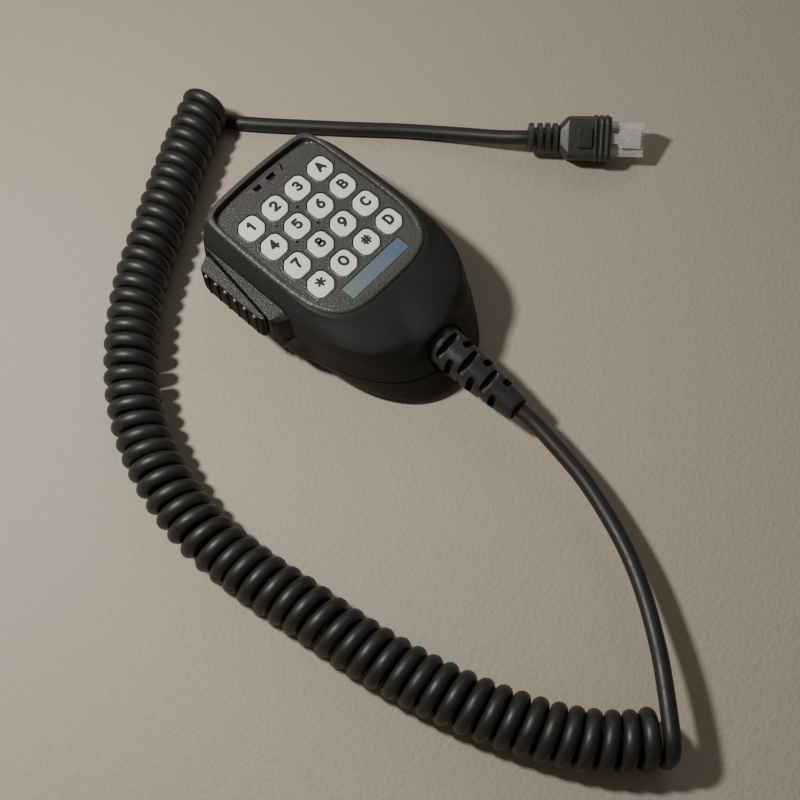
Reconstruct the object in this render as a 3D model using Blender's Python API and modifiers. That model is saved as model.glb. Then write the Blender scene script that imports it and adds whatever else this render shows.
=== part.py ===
"""Hand microphone with a sixteen-key pad, a push-to-talk bar, a curly cord and a modular plug.

+Z points out of the keypad, +Y towards the top of the microphone and -X towards the
push-to-talk bar. The origin is the centre of the hang-up button's face, on the surface
that the microphone lies on. Sizes below are in millimetres, and new_object() and place()
turn them into metres.
"""

import math

import bmesh
import bpy
from mathutils import Matrix, Vector

MM = 0.001
GAP = 0.3

# Case: each level is (height, half width, top end, cord end, roundness of the cord end).
PARTING = 12.0
FRONT_LEVELS = (
    (PARTING, 30.2, 30.0, -55.0, 2.4),
    (17.0, 29.6, 30.2, -52.0, 2.5),
    (22.0, 28.9, 30.4, -48.6, 2.8),
    (24.4, 28.2, 30.6, -46.3, 3.0),
    (25.2, 27.5, 30.65, -44.7, 3.0),
    (27.6, 25.6, 30.6, -37.4, 3.0),
    (29.1, 24.4, 30.4, -31.4, 3.5),
)
FRONT_CAVITY = (
    (PARTING - 1.0, 25.8, 25.4, -45.0, 2.6),
    (20.0, 25.6, 25.4, -43.8, 2.8),
    (24.0, 25.0, 25.2, -41.0, 3.0),
    (25.8, 22.4, 24.8, -35.5, 3.1),
)
REAR_LEVELS = (
    (0.0, 26.2, 26.6, -57.6, 2.4),
    (3.0, 28.2, 28.4, -59.2, 2.4),
    (8.0, 29.8, 29.6, -57.0, 2.4),
    (PARTING - GAP, 30.2, 30.0, -55.2, 2.4),
)
REAR_CAVITY = (
    (2.0, 23.4, 22.4, -44.0, 2.4),
    (PARTING + 1.0, 25.8, 25.4, -45.0, 2.4),
)
BODY_MIDDLE = -5.0
BODY_TOP_ROUNDNESS = 10.0
BARREL = 0.00004
BOW = 0.0022
SIDE_BULGE = 1.8
SIDE_BULGE_LEVELS = (4.0, 15.0)
SIDE_BULGE_ENDS = (-24.0, -17.0)
SIDE_BULGE_FADE = (-9.0, -4.0)
BACK_HEIGHT = 6.5
BACK_SLOPE = (-16.0, -46.0)
BACK_WALL = 2.0

# Keypad: the bezel is the textured plate with its raised rim.
PLATE_TOP = 29.4
PLATE_BOTTOM = 27.2
RIM_TOP = 30.2
RIM = (23.6, 29.85, -29.8)
RIM_INSIDE = (22.3, 28.3, -28.5)
PLATE_EDGE = (21.8, 26.3, -28.1)
TROUGH_FLOOR = 28.6
RIM_ROUNDNESS = (9.0, 3.6)
KEYPAD_OPENING = (19.9, 20.0, -17.5)
KEY_PITCH = (10.15, 9.84)
KEY_WIDTH = 8.05
KEY_CHAMFERS = (1.35, 2.25)
KEY_TOP = 29.5
KEY_FLANGE = (0.4, 25.6, 26.8)
KEY_CLEARANCE = 0.3
KEY_NAMES = (
    ("key_1", "key_2", "key_3", "key_a"),
    ("key_4", "key_5", "key_6", "key_b"),
    ("key_7", "key_8", "key_9", "key_c"),
    ("key_star", "key_0", "key_hash", "key_d"),
)
SOUND_HOLE_RADIUS = 0.42
SOUND_HOLES = ((-9.3, 9.7), (0.0, 9.9), (-9.3, 0.9), (0.1, 1.0))
LABEL = (0.25, -23.0, 24.9, 5.0, 0.3)
WINDOW = (-5.9, 7.1, 22.9, 26.1)
LENS_TOP = 28.8
LENS_SLOTS = ((-4.6, -1.9), (1.2, 4.3))

# Insides
BOARD = (18.9, 24.0, -38.5, 21.0, 22.6)
MEMBRANE = (18.9, 19.8, -20.6, 22.9, 24.1)
CASE_SCREWS = ((-22.6, 19.0), (22.6, 19.0), (-21.5, -29.0), (21.5, -29.0))
BOARD_SCREWS = ((-11.0, -33.0), (11.0, -33.0))
CAPSULE = (-5.07, 4.92)
SOUND_PORT = (-0.1, 4.92)
BUTTON_RADIUS = 8.5
BUTTON_NECK = 4.6

# Push-to-talk bar, as plan outlines of (x, y)
BAR_OUTLINE = ((-29.3, 20.4), (-29.9, 21.0), (-34.0, 19.2), (-34.5, 18.2), (-34.5, -7.4), (-33.3, -8.9))
BAR_LEVELS = ((12.4, 1.1), (13.6, 0.3), (15.0, 0.0), (23.9, 0.0), (24.5, 0.4))
BAR_RIBS = 6
BAR_RIB_PITCH = 4.2
BAR_FIRST_RIB = -5.0
FRAME_INNER_X = -27.9
FRAME_TOP_END = 23.6
# (height, how far the surround's lower end reaches along the case there); it slopes down into the case
FRAME_TIP = -10.2
FRAME_REACH = ((12.1, -18.8), (17.0, -17.0), (20.6, -15.3), (23.4, -13.3), (25.0, -10.8))
PIVOT = (-31.3, -6.4)
NUB_Y = 12.0
SWITCH_Z = 18.9

# Gland and strain relief: (y, height of the centre line, radius)
GLAND_HEIGHT = 15.0
BOOT_SECTIONS = (
    (-43.0, 15.0, 7.0),
    (-44.6, 15.0, 7.0),
    (-44.7, 15.0, 9.0),
    (-46.3, 15.0, 9.0),
    (-46.4, 15.0, 6.9),
    (-50.0, 14.95, 6.8),
    (-56.0, 14.6, 6.35),
    (-62.0, 14.1, 6.1),
    (-68.0, 13.5, 5.65),
    (-74.0, 12.8, 5.0),
    (-80.4, 12.0, 4.4),
    (-81.3, 11.9, 4.0),
)
BOOT_TWIST = 12.0
# (position along the cord, the boot's radius there, offset row)
BOOT_SLOTS = (
    (-54.0, 6.45, 0), (-58.1, 6.25, 1), (-62.3, 6.1, 0),
    (-66.4, 5.8, 1), (-70.6, 5.35, 0), (-74.6, 4.95, 1),
)

# Cord
CORD_RADIUS = 2.45
COIL_RADIUS = 8.65
LEAD_ROUTE = (
    (0.2, -81.7, 11.8),
    (0.1, -87.5, 11.2),
    (-0.9, -95.0, 10.7),
    (-3.7, -109.5, 10.2),
    (-8.3, -122.8, 10.2),
    (-14.0, -134.8, 10.7),
    (-21.0, -145.8, 11.6),
    (-30.2, -157.8, 13.3),
    (-35.3, -164.9, 14.3),
)
COIL_ROUTE = (
    (21.4, 75.3),
    (7.8, 69.2),
    (-12.2, 58.2),
    (-30.9, 47.3),
    (-48.8, 35.9),
    (-64.9, 21.4),
    (-77.9, 4.8),
    (-86.6, -14.9),
    (-90.7, -35.9),
    (-90.0, -55.6),
    (-87.0, -75.9),
    (-84.2, -95.5),
    (-79.6, -115.6),
    (-73.0, -134.9),
    (-64.0, -153.5),
    (-55.2, -165.2),
    (-47.2, -172.0),
    (-40.9, -176.6),
)
TAIL_ROUTE = (
    (22.3, 65.8, 2.5),
    (27.0, 59.0, 2.5),
    (36.6, 47.0, 2.5),
    (47.8, 33.2, 2.5),
    (59.0, 19.6, 2.6),
    (69.0, 5.3, 3.7),
    (77.9, -9.3, 5.9),
    (82.5, -16.45, 7.5),
)

# Plug, in its own frame: +X out of the plug's nose, origin on the surface under the tail's end
PLUG_PLACE = (83.0, -17.0)
PLUG_TURN = math.radians(-49.7)
PLUG_AXIS_HEIGHT = 5.2
PLUG_ROLL = math.radians(35)
PLUG_AXIS_LIFT = 7.6
PLUG_RIBS = ((1.2, 5.0), (4.2, 5.05), (6.8, 5.1), (9.4, 5.15))
PLUG_FINS = (22.95, 24.85, 26.75)
PLUG_BODY = (19.0, 39.5, 11.68, 1.5, 8.1)
PLUG_CONTACTS = 8
CONTACT_PITCH = 1.02
LATCH_HINGE = (37.6, 8.9)


def clear_scene():
    for obj in list(bpy.data.objects):
        bpy.data.objects.remove(obj, do_unlink=True)


def collection(name):
    group = bpy.data.collections.new(name)
    bpy.context.scene.collection.children.link(group)
    return group


def material(name, colour, roughness, metallic=0.0, alpha=1.0):
    made = bpy.data.materials.new(name)
    made.use_nodes = True
    shader = made.node_tree.nodes["Principled BSDF"]
    shader.inputs["Base Color"].default_value = (*colour, 1.0)
    shader.inputs["Roughness"].default_value = roughness
    shader.inputs["Metallic"].default_value = metallic
    shader.inputs["Alpha"].default_value = alpha
    return made


clear_scene()
PARTS = collection("hand_microphone")
CUTTERS = collection("cutters")

CASE_PLASTIC = material("case_plastic", (0.018, 0.018, 0.018), 0.42)
BEZEL_PLASTIC = material("bezel_plastic", (0.045, 0.045, 0.046), 0.55)
KEY_PLASTIC = material("key_plastic", (0.80, 0.82, 0.80), 0.4)
LABEL_METAL = material("label_metal", (0.20, 0.27, 0.34), 0.35, 0.8)
LENS_PLASTIC = material("lens_plastic", (0.45, 0.38, 0.45), 0.25)
GRIP_PLASTIC = material("grip_plastic", (0.05, 0.05, 0.052), 0.5)
CORD_RUBBER = material("cord_rubber", (0.02, 0.02, 0.02), 0.38)
PLUG_RUBBER = material("plug_rubber", (0.018, 0.02, 0.018), 0.45)
CLEAR_PLASTIC = material("clear_plastic", (0.8, 0.78, 0.74), 0.1, 0.0, 0.4)
GOLD = material("contact_gold", (0.75, 0.5, 0.18), 0.3, 1.0)
STEEL = material("screw_steel", (0.5, 0.5, 0.5), 0.35, 1.0)
BOARD_GREEN = material("board_green", (0.03, 0.16, 0.07), 0.4)
SILICONE = material("silicone", (0.35, 0.35, 0.35), 0.6)
CHIP_BLACK = material("chip_black", (0.02, 0.02, 0.02), 0.5)


# Mesh helpers. Everything added to a bmesh is in millimetres.


def add_box(bm, low, high):
    low, high = Vector(low), Vector(high)
    size = high - low
    where = Matrix.Translation((low + high) / 2) @ Matrix.Diagonal((size.x, size.y, size.z, 1.0))
    bmesh.ops.create_cube(bm, size=1.0, matrix=where)


def add_cylinder(bm, radius, start, end, sides=24):
    start, end = Vector(start), Vector(end)
    axis = end - start
    turn = axis.to_track_quat("Z", "Y").to_matrix().to_4x4()
    where = Matrix.Translation((start + end) / 2) @ turn
    bmesh.ops.create_cone(
        bm,
        cap_ends=True,
        segments=sides,
        radius1=radius,
        radius2=radius,
        depth=axis.length,
        matrix=where,
    )


def add_loft(bm, rings):
    """A closed solid through rings that have the same number of points."""
    rows = [[bm.verts.new(point) for point in ring] for ring in rings]
    count = len(rows[0])
    for row, following in zip(rows, rows[1:]):
        for i in range(count):
            j = (i + 1) % count
            bm.faces.new((row[i], row[j], following[j], following[i]))
    bm.faces.new(list(reversed(rows[0])))
    bm.faces.new(rows[-1])


def add_prism(bm, outline, low, high):
    add_loft(bm, [[(x, y, z) for x, y in outline] for z in (low, high)])


def new_object(name, bm, look, location=(0, 0, 0), group=PARTS):
    bmesh.ops.scale(bm, vec=(MM, MM, MM), verts=bm.verts)
    bmesh.ops.recalc_face_normals(bm, faces=bm.faces)
    mesh = bpy.data.meshes.new(name)
    bm.to_mesh(mesh)
    bm.free()
    obj = bpy.data.objects.new(name, mesh)
    obj.location = Vector(location) * MM
    if look is not None:
        mesh.materials.append(look)
    group.objects.link(obj)
    return obj


def helper(name, bm, parent=None):
    """A cutter, or a shape that is joined to another."""
    obj = new_object(name, bm, None, group=CUTTERS)
    obj.parent = parent
    obj.hide_render = True
    obj.display_type = "WIRE"
    return obj


def boolean(obj, other, operation):
    step = obj.modifiers.new(f"{operation.lower()} {other.name}", "BOOLEAN")
    step.object = other
    step.operation = operation
    step.solver = "EXACT"


def cut(obj, other):
    boolean(obj, other, "DIFFERENCE")


def join(obj, other):
    boolean(obj, other, "UNION")


def bevel(obj, width, segments=2, angle=40):
    step = obj.modifiers.new("bevel", "BEVEL")
    step.width = width * MM
    step.segments = segments
    step.limit_method = "ANGLE"
    step.angle_limit = math.radians(angle)


def box_object(name, low, high, look, edge=0.0):
    bm = bmesh.new()
    add_box(bm, low, high)
    obj = new_object(name, bm, look)
    if edge:
        bevel(obj, edge)
    return obj


def turned(name, profile, look, location, steps=20):
    """A turned piece about Z: profile is (radius, height), from the top down its outer side."""
    bm = bmesh.new()
    points = [bm.verts.new((radius, 0, height)) for radius, height in profile]
    for one, other in zip(points, points[1:]):
        bm.edges.new((one, other))
    obj = new_object(name, bm, look, location)
    step = obj.modifiers.new("turn", "SCREW")
    step.steps = steps
    step.render_steps = steps
    step.use_merge_vertices = True
    step.merge_threshold = 0.00001
    return obj


def rounded_outline(half_width, top, bottom, top_roundness, bottom_roundness, middle, count=40):
    """Two half superellipses that meet at y = middle; the upper end narrows and its edge is bowed."""
    points = []
    for i in range(count):
        angle = 2 * math.pi * i / count
        cosine, sine = math.cos(angle), math.sin(angle)
        reach = top - middle if sine >= 0 else middle - bottom
        power = 2 / (top_roundness if sine >= 0 else bottom_roundness)
        x = half_width * math.copysign(abs(cosine) ** power, cosine)
        y = middle + reach * math.copysign(abs(sine) ** power, sine)
        if y > 0:
            y_bowed = y - BOW * x * x * smooth_step(y, 5.0, 26.0)
            x *= 1 - BARREL * y * y
            y = y_bowed
        points.append((x, y))
    return points


def smooth_step(value, start, end):
    part = min(max((value - start) / (end - start), 0.0), 1.0)
    return part * part * (3 - 2 * part)


def case_ring(level, bulge=0.0):
    height, half_width, top, bottom, roundness = level
    outline = rounded_outline(half_width, top, bottom, BODY_TOP_ROUNDNESS, roundness, BODY_MIDDLE)
    ring = []
    for x, y in outline:
        swell = bulge * smooth_step(y, *SIDE_BULGE_ENDS) * (1 - smooth_step(y, *SIDE_BULGE_FADE))
        swell *= smooth_step(-x, 24.0, 28.0)
        ring.append((x - swell, y, height))
    return ring


def side_bulge(height):
    low, high = SIDE_BULGE_LEVELS
    return SIDE_BULGE if low <= height <= high else 0.0


def key_outline(centre, spread=0.0):
    """An octagon; two opposite corners of a key are cut more than the other two."""
    half = KEY_WIDTH / 2 + spread
    small, large = (cut_off + 0.6 * spread for cut_off in KEY_CHAMFERS)
    corners = ((half, half - small), (half - small, half), (large - half, half), (-half, half - large))
    corners += tuple((-x, -y) for x, y in corners)
    return [(centre[0] + x, centre[1] + y) for x, y in corners]


def key_centre(row, column):
    return (column - 1.5) * KEY_PITCH[0], (1.5 - row) * KEY_PITCH[1]


def through_points(route, spacing):
    """A smooth Catmull-Rom curve through the route's points, read at an even spacing."""
    points = [Vector(point) for point in route]
    ends = [2 * points[0] - points[1]] + points + [2 * points[-1] - points[-2]]
    fine = []
    for before, start, end, after in zip(ends, ends[1:], ends[2:], ends[3:]):
        for step in range(24):
            t = step / 24
            fine.append(
                0.5
                * (
                    2 * start
                    + (end - before) * t
                    + (2 * before - 5 * start + 4 * end - after) * t * t
                    + (3 * start - before - 3 * end + after) * t**3
                )
            )
    fine.append(points[-1])
    lengths = [0.0]
    for one, other in zip(fine, fine[1:]):
        lengths.append(lengths[-1] + (other - one).length)
    count = max(round(lengths[-1] / spacing), 2)
    read, segment = [], 0
    for i in range(count + 1):
        target = lengths[-1] * i / count
        while segment < len(fine) - 2 and lengths[segment + 1] < target:
            segment += 1
        span = lengths[segment + 1] - lengths[segment]
        read.append(fine[segment].lerp(fine[segment + 1], (target - lengths[segment]) / span))
    return read


def tube(name, points, radius, look, resolution=2, radii=None):
    curve = bpy.data.curves.new(name, "CURVE")
    curve.dimensions = "3D"
    curve.bevel_depth = (1.0 if radii else radius) * MM
    curve.bevel_resolution = resolution
    curve.use_fill_caps = True
    spline = curve.splines.new("POLY")
    spline.points.add(len(points) - 1)
    for i, (target, point) in enumerate(zip(spline.points, points)):
        target.co = (*(Vector(point) * MM), 1.0)
        if radii:
            target.radius = radii[i]
    obj = bpy.data.objects.new(name, curve)
    curve.materials.append(look)
    PARTS.objects.link(obj)
    return obj


def tube_to_mesh(obj):
    """The curve as a mesh with welded caps, so that it can be cut."""
    bpy.context.view_layer.update()
    graph = bpy.context.evaluated_depsgraph_get()
    mesh = bpy.data.meshes.new_from_object(obj.evaluated_get(graph))
    bm = bmesh.new()
    bm.from_mesh(mesh)
    bmesh.ops.remove_doubles(bm, verts=bm.verts, dist=0.000001)
    bmesh.ops.recalc_face_normals(bm, faces=bm.faces)
    bm.to_mesh(mesh)
    bm.free()
    name, place = obj.name, obj.matrix_world.copy()
    bpy.data.objects.remove(obj, do_unlink=True)
    made = bpy.data.objects.new(name, mesh)
    made.matrix_world = place
    PARTS.objects.link(made)
    return made


# Case


def rim_outline(size, spread=0.0, count=40):
    half_width, top, bottom = size
    return rounded_outline(
        half_width + spread, top + spread, bottom - spread, *RIM_ROUNDNESS, 0.0, count
    )


def make_front_case():
    bm = bmesh.new()
    add_loft(bm, [case_ring(level, side_bulge(level[0])) for level in FRONT_LEVELS])
    case = new_object("front_case", bm, CASE_PLASTIC)

    bm = bmesh.new()
    add_loft(bm, [case_ring(level) for level in FRONT_CAVITY])
    cut(case, helper("front cavity", bm))

    bm = bmesh.new()
    add_prism(bm, rim_outline(RIM, GAP), PLATE_BOTTOM - GAP, RIM_TOP + 2)
    cut(case, helper("bezel seat", bm))

    half, top, bottom = KEYPAD_OPENING
    bm = bmesh.new()
    add_prism(bm, rim_outline(RIM, -2.2), 24.5, 29.0)
    opening = helper("keypad opening", bm)
    bm = bmesh.new()
    add_box(bm, (-half, bottom, 20.0), (half, top, 29.0))
    join(opening, helper("room for the outer keys", bm))
    cut(case, opening)

    bm = bmesh.new()
    for x, y in CASE_SCREWS:
        add_cylinder(bm, 3.0, (x, y, PARTING + 0.4), (x, y, 25.9), 16)
    for x, y in BOARD_SCREWS:
        add_cylinder(bm, 2.6, (x, y, BOARD[4] + GAP), (x, y, 26.4), 16)
    join(case, helper("front bosses", bm))

    bm = bmesh.new()
    add_cylinder(bm, 10.2, (0, -41.0, GLAND_HEIGHT), (0, -49.2, GLAND_HEIGHT), 32)
    collar = helper("gland collar", bm)
    bm = bmesh.new()
    add_box(bm, (-15, -60, 0), (15, -35, PARTING + 0.01))
    cut(collar, helper("below the parting line", bm))
    join(case, collar)

    cut_talk_recess(case, "front")

    bm = bmesh.new()
    add_box(bm, (-29, NUB_Y - 2.8, SWITCH_Z - 2.2), (-24, NUB_Y + 2.8, SWITCH_Z + 2.2))
    for x, y in CASE_SCREWS:
        add_cylinder(bm, 1.55, (x, y, PARTING - 1), (x, y, 21.5), 12)
    for x, y in BOARD_SCREWS:
        add_cylinder(bm, 1.25, (x, y, BOARD[3]), (x, y, 26.0), 12)
    cut(case, helper("front holes", bm))
    cut_gland(case, "front")


def cut_talk_recess(case, half):
    """Room at the side for the talk bar and its surround."""
    bm = bmesh.new()
    rings = []
    for z, reach in ((PARTING - GAP - 0.05, FRAME_REACH[0][1]), *FRAME_REACH[1:], (31.0, FRAME_REACH[-1][1])):
        end = frame_end(reach)
        ring = [(-45.0, 24.0), (FRAME_INNER_X + GAP, 24.0), (FRAME_INNER_X + GAP, end[0][1] - 0.6)]
        ring += [(x - 0.3, y - 0.6) for x, y in end[1:]]
        ring.append((-45.0, end[-1][1] - 1.5))
        rings.append([(x, y, z) for x, y in ring])
    add_loft(bm, rings)
    cut(case, helper(f"{half} talk bar recess", bm))


def cut_gland(case, half):
    bm = bmesh.new()
    add_cylinder(bm, 7.3, (0, -38.0, GLAND_HEIGHT), (0, -64.0, GLAND_HEIGHT), 32)
    cut(case, helper(f"{half} gland hole", bm))
    bm = bmesh.new()
    add_cylinder(bm, 9.35, (0, -44.3, GLAND_HEIGHT), (0, -46.7, GLAND_HEIGHT), 32)
    cut(case, helper(f"{half} gland groove", bm))


def back_profile(rise, low):
    """(y, z) outline of the space behind the sloped back, lifted by rise, down to low."""
    start, end = BACK_SLOPE
    steps = 8
    slope = [(start + (end - start) * i / steps, i / steps) for i in range(steps + 1)]
    curve = [(y, rise + BACK_HEIGHT * (1 - smooth_step(part, 0, 1))) for y, part in slope]
    return [(45.0, low), (45.0, rise + BACK_HEIGHT)] + curve + [(end, low)]


def add_side_prism(bm, outline, low, high):
    """A prism along X from an outline of (y, z)."""
    add_loft(bm, [[(x, y, z) for y, z in outline] for x in (low, high)])


def make_rear_case():
    bm = bmesh.new()
    add_loft(bm, [case_ring(level, side_bulge(level[0])) for level in REAR_LEVELS])
    case = new_object("rear_case", bm, CASE_PLASTIC)

    bm = bmesh.new()
    add_side_prism(bm, back_profile(0.0, -3.0), -50, 50)
    cut(case, helper("behind the back", bm))

    bm = bmesh.new()
    add_loft(bm, [case_ring(level) for level in REAR_CAVITY])
    cavity = helper("rear cavity", bm)
    bm = bmesh.new()
    add_side_prism(bm, back_profile(BACK_WALL, -3.0), -50, 50)
    cut(cavity, helper("back wall", bm))
    cut(case, cavity)

    bm = bmesh.new()
    for x, y in CASE_SCREWS:
        add_cylinder(bm, 4.0, (x, y, BACK_HEIGHT + 0.2), (x, y, PARTING - GAP - 0.05), 20)
    bosses = helper("rear bosses", bm)
    join(case, bosses)

    bm = bmesh.new()
    for x, y in CASE_SCREWS:
        add_cylinder(bm, 2.9, (x, y, -2.0), (x, y, 9.2), 16)
    cut(case, helper("screw head wells", bm))
    bm = bmesh.new()
    for x, y in CASE_SCREWS:
        add_cylinder(bm, 1.55, (x, y, 8.0), (x, y, PARTING + 2), 12)
    add_cylinder(bm, 1.65, (0, 0, 4.0), (0, 0, PARTING + 2), 12)
    cut(case, helper("rear holes", bm))
    cut_gland(case, "rear")


# Keypad


def make_bezel():
    """The textured plate with its raised rim, sixteen key openings and the sound holes."""
    bm = bmesh.new()
    outline = rim_outline(RIM)
    crest = rim_outline(RIM, -0.75)
    rings = (
        [(x, y, PLATE_BOTTOM) for x, y in outline],
        [(x, y, RIM_TOP - 0.7) for x, y in outline],
        [(x, y, RIM_TOP) for x, y in crest],
    )
    add_loft(bm, rings)
    bezel = new_object("keypad_bezel", bm, BEZEL_PLASTIC)

    bm = bmesh.new()
    add_prism(bm, rim_outline(RIM_INSIDE), TROUGH_FLOOR, RIM_TOP + 1)
    trough = helper("inside the rim", bm)
    bm = bmesh.new()
    add_prism(bm, rim_outline(PLATE_EDGE), TROUGH_FLOOR - 1, PLATE_TOP)
    cut(trough, helper("plate left standing", bm))
    cut(bezel, trough)

    bm = bmesh.new()
    for row in range(4):
        for column in range(4):
            add_prism(bm, key_outline(key_centre(row, column), KEY_CLEARANCE), 26.0, 31.0)
    for x, y in SOUND_HOLES:
        add_cylinder(bm, SOUND_HOLE_RADIUS, (x, y, 26.0), (x, y, 31.0), 8)
    left, right, low, high = WINDOW
    add_prism(bm, ((left, low), (right, low), (right + 1.7, high), (left - 2.3, high)), 26.0, 31.0)
    x, y, length, width, _ = LABEL
    reach = Vector((length / 2 + GAP, width / 2 + GAP))
    add_box(bm, (x - reach.x, y - reach.y, 28.7), (x + reach.x, y + reach.y, 31.0))
    cut(bezel, helper("bezel openings", bm))


def make_label():
    x, y, length, width, thickness = LABEL
    top = PLATE_TOP - 0.15
    low = (x - length / 2, y - width / 2, top - thickness)
    box_object("label_strip", low, (x + length / 2, y + width / 2, top), LABEL_METAL)


def make_lens():
    """The lens strip in the bezel's upper window, with two dark slots through it."""
    left, right, low, high = WINDOW
    bm = bmesh.new()
    outline = (
        (left + GAP, low + GAP),
        (right - GAP, low + GAP),
        (right + 0.9, high - GAP),
        (left - 1.4, high - GAP),
    )
    add_prism(bm, outline, PLATE_BOTTOM, LENS_TOP)
    lens = new_object("status_lens", bm, LENS_PLASTIC)
    bm = bmesh.new()
    for start, end in LENS_SLOTS:
        add_box(bm, (start, low + 0.6, 26.0), (end, high - 0.8, 29.5))
    cut(lens, helper("lens slots", bm))


def make_keys():
    for row, names in enumerate(KEY_NAMES):
        for column, name in enumerate(names):
            make_key(name, *key_centre(row, column))


def make_key(name, x, y):
    """A chamfered cap on a wider flange that stays under the bezel; it slides along Z."""
    flange, low, high = KEY_FLANGE
    bm = bmesh.new()
    shape = ((flange, low), (flange, high), (0.0, high), (0.0, KEY_TOP - 0.25), (-0.25, KEY_TOP))
    rings = [[(px, py, z - KEY_TOP) for px, py in key_outline((0, 0), spread)] for spread, z in shape]
    add_loft(bm, rings)
    new_object(name, bm, KEY_PLASTIC, (x, y, KEY_TOP))


def make_membrane():
    half, top, bottom, low, high = MEMBRANE
    mat = box_object("key_membrane", (-half, bottom, low), (half, top, high), SILICONE)
    bm = bmesh.new()
    for row in range(4):
        for column in range(4):
            x, y = key_centre(row, column)
            add_cylinder(bm, 2.8, (x, y, low + 0.4), (x, y, high + 0.4), 12)
    join(mat, helper("key domes", bm))
    bm = bmesh.new()
    add_cylinder(bm, 1.6, (*SOUND_PORT, low - 1), (*SOUND_PORT, high + 1), 12)
    cut(mat, helper("membrane sound hole", bm))


def make_board():
    half, top, bottom, low, high = BOARD
    bm = bmesh.new()
    corner = 6.0
    outline = (
        (half, top),
        (-half, top),
        (-half, bottom + 12),
        (-half + corner, bottom),
        (half - corner, bottom),
        (half, bottom + 12),
    )
    add_prism(bm, outline, low, high)
    board = new_object("circuit_board", bm, BOARD_GREEN)
    bm = bmesh.new()
    for x, y in BOARD_SCREWS:
        add_cylinder(bm, 1.25, (x, y, low - 1), (x, y, high + 1), 12)
    add_cylinder(bm, 1.6, (*SOUND_PORT, low - 1), (*SOUND_PORT, high + 1), 12)
    cut(board, helper("board holes", bm))

    box_object("encoder_chip", (-2.5, -18.0, 18.4), (15.5, -10.5, low - GAP), CHIP_BLACK, 0.3)
    header = box_object("cord_header", (-6.0, -36.8, 17.2), (6.0, -32.2, low - GAP), KEY_PLASTIC)
    bm = bmesh.new()
    add_box(bm, (-5.2, -36.0, 15.0), (5.2, -33.0, 19.6))
    cut(header, helper("header socket", bm))
    dome = ((0, 1.9), (0.7, 1.7), (1.1, 1.0), (1.3, 0.9), (1.3, 0), (0, 0))
    turned("status_led", dome, LENS_PLASTIC, (7, 21.6, high + GAP), 12)


def make_capsule():
    x, y = CAPSULE
    profile = ((0, 5.6), (4.2, 5.6), (4.7, 5.1), (4.7, 0), (0, 0))
    turned("mic_capsule", profile, STEEL, (x, y, 14.6), 24)
    sleeve = ((5.0, 5.2), (6.2, 5.2), (6.2, 0.6), (5.0, 0.6), (5.0, 5.2))
    turned("mic_grommet", sleeve, SILICONE, (x, y, 14.8), 24)


def make_screws():
    head, well, tip = 2.5, 6.9, 20.5
    for number, (x, y) in enumerate(CASE_SCREWS, 1):
        profile = ((0, tip - well), (1.2, tip - well), (1.2, 1.9), (head, 1.9), (head, 0.4), (2.1, 0), (0, 0))
        turned(f"case_screw_{number}", profile, STEEL, (x, y, well), 16)
    for number, (x, y) in enumerate(BOARD_SCREWS, 1):
        profile = ((0, 6.3), (0.95, 6.3), (0.95, 1.6), (1.9, 1.6), (1.9, 0.3), (1.6, 0), (0, 0))
        turned(f"board_screw_{number}", profile, STEEL, (x, y, BOARD[3] - GAP - 1.6), 12)


# Hang-up button


def make_hang_button():
    neck_top = BACK_HEIGHT - GAP
    profile = (
        (1.65, neck_top),
        (BUTTON_NECK, neck_top),
        (BUTTON_NECK, 3.0),
        (BUTTON_RADIUS - 0.5, 3.0),
        (BUTTON_RADIUS, 2.5),
        (BUTTON_RADIUS, 0.5),
        (BUTTON_RADIUS - 0.5, 0.0),
        (0, 0),
        (0, 1.6),
        (1.65, 1.6),
        (1.65, neck_top),
    )
    turned("hang_button", profile, CASE_PLASTIC, (0, 0, 0), 32)
    washer = ((1.7, 0.7), (4.4, 0.7), (4.4, 0), (1.7, 0), (1.7, 0.7))
    seat = BACK_HEIGHT + BACK_WALL + GAP
    turned("hang_washer", washer, STEEL, (0, 0, seat), 20)
    shank = seat + 0.7 + GAP - 2.2
    head = ((0, shank + 1.8), (2.2, shank + 1.8), (2.6, shank + 1.4), (2.6, shank))
    screw = (*head, (1.3, shank), (1.3, 0), (0, 0))
    turned("hang_screw", screw, STEEL, (0, 0, 2.2), 16)


# Push-to-talk


def inset_outline(outline, amount):
    """The outline drawn towards its own middle by about the amount."""
    middle = Vector((sum(x for x, _ in outline), sum(y for _, y in outline))) / len(outline)
    moved = []
    for x, y in outline:
        offset = Vector((x, y)) - middle
        step = Vector((math.copysign(amount, offset.x), math.copysign(amount, offset.y)))
        moved.append((x - min(abs(step.x), abs(offset.x)) * math.copysign(1, offset.x) * 0.8, y - step.y))
    return moved


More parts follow.
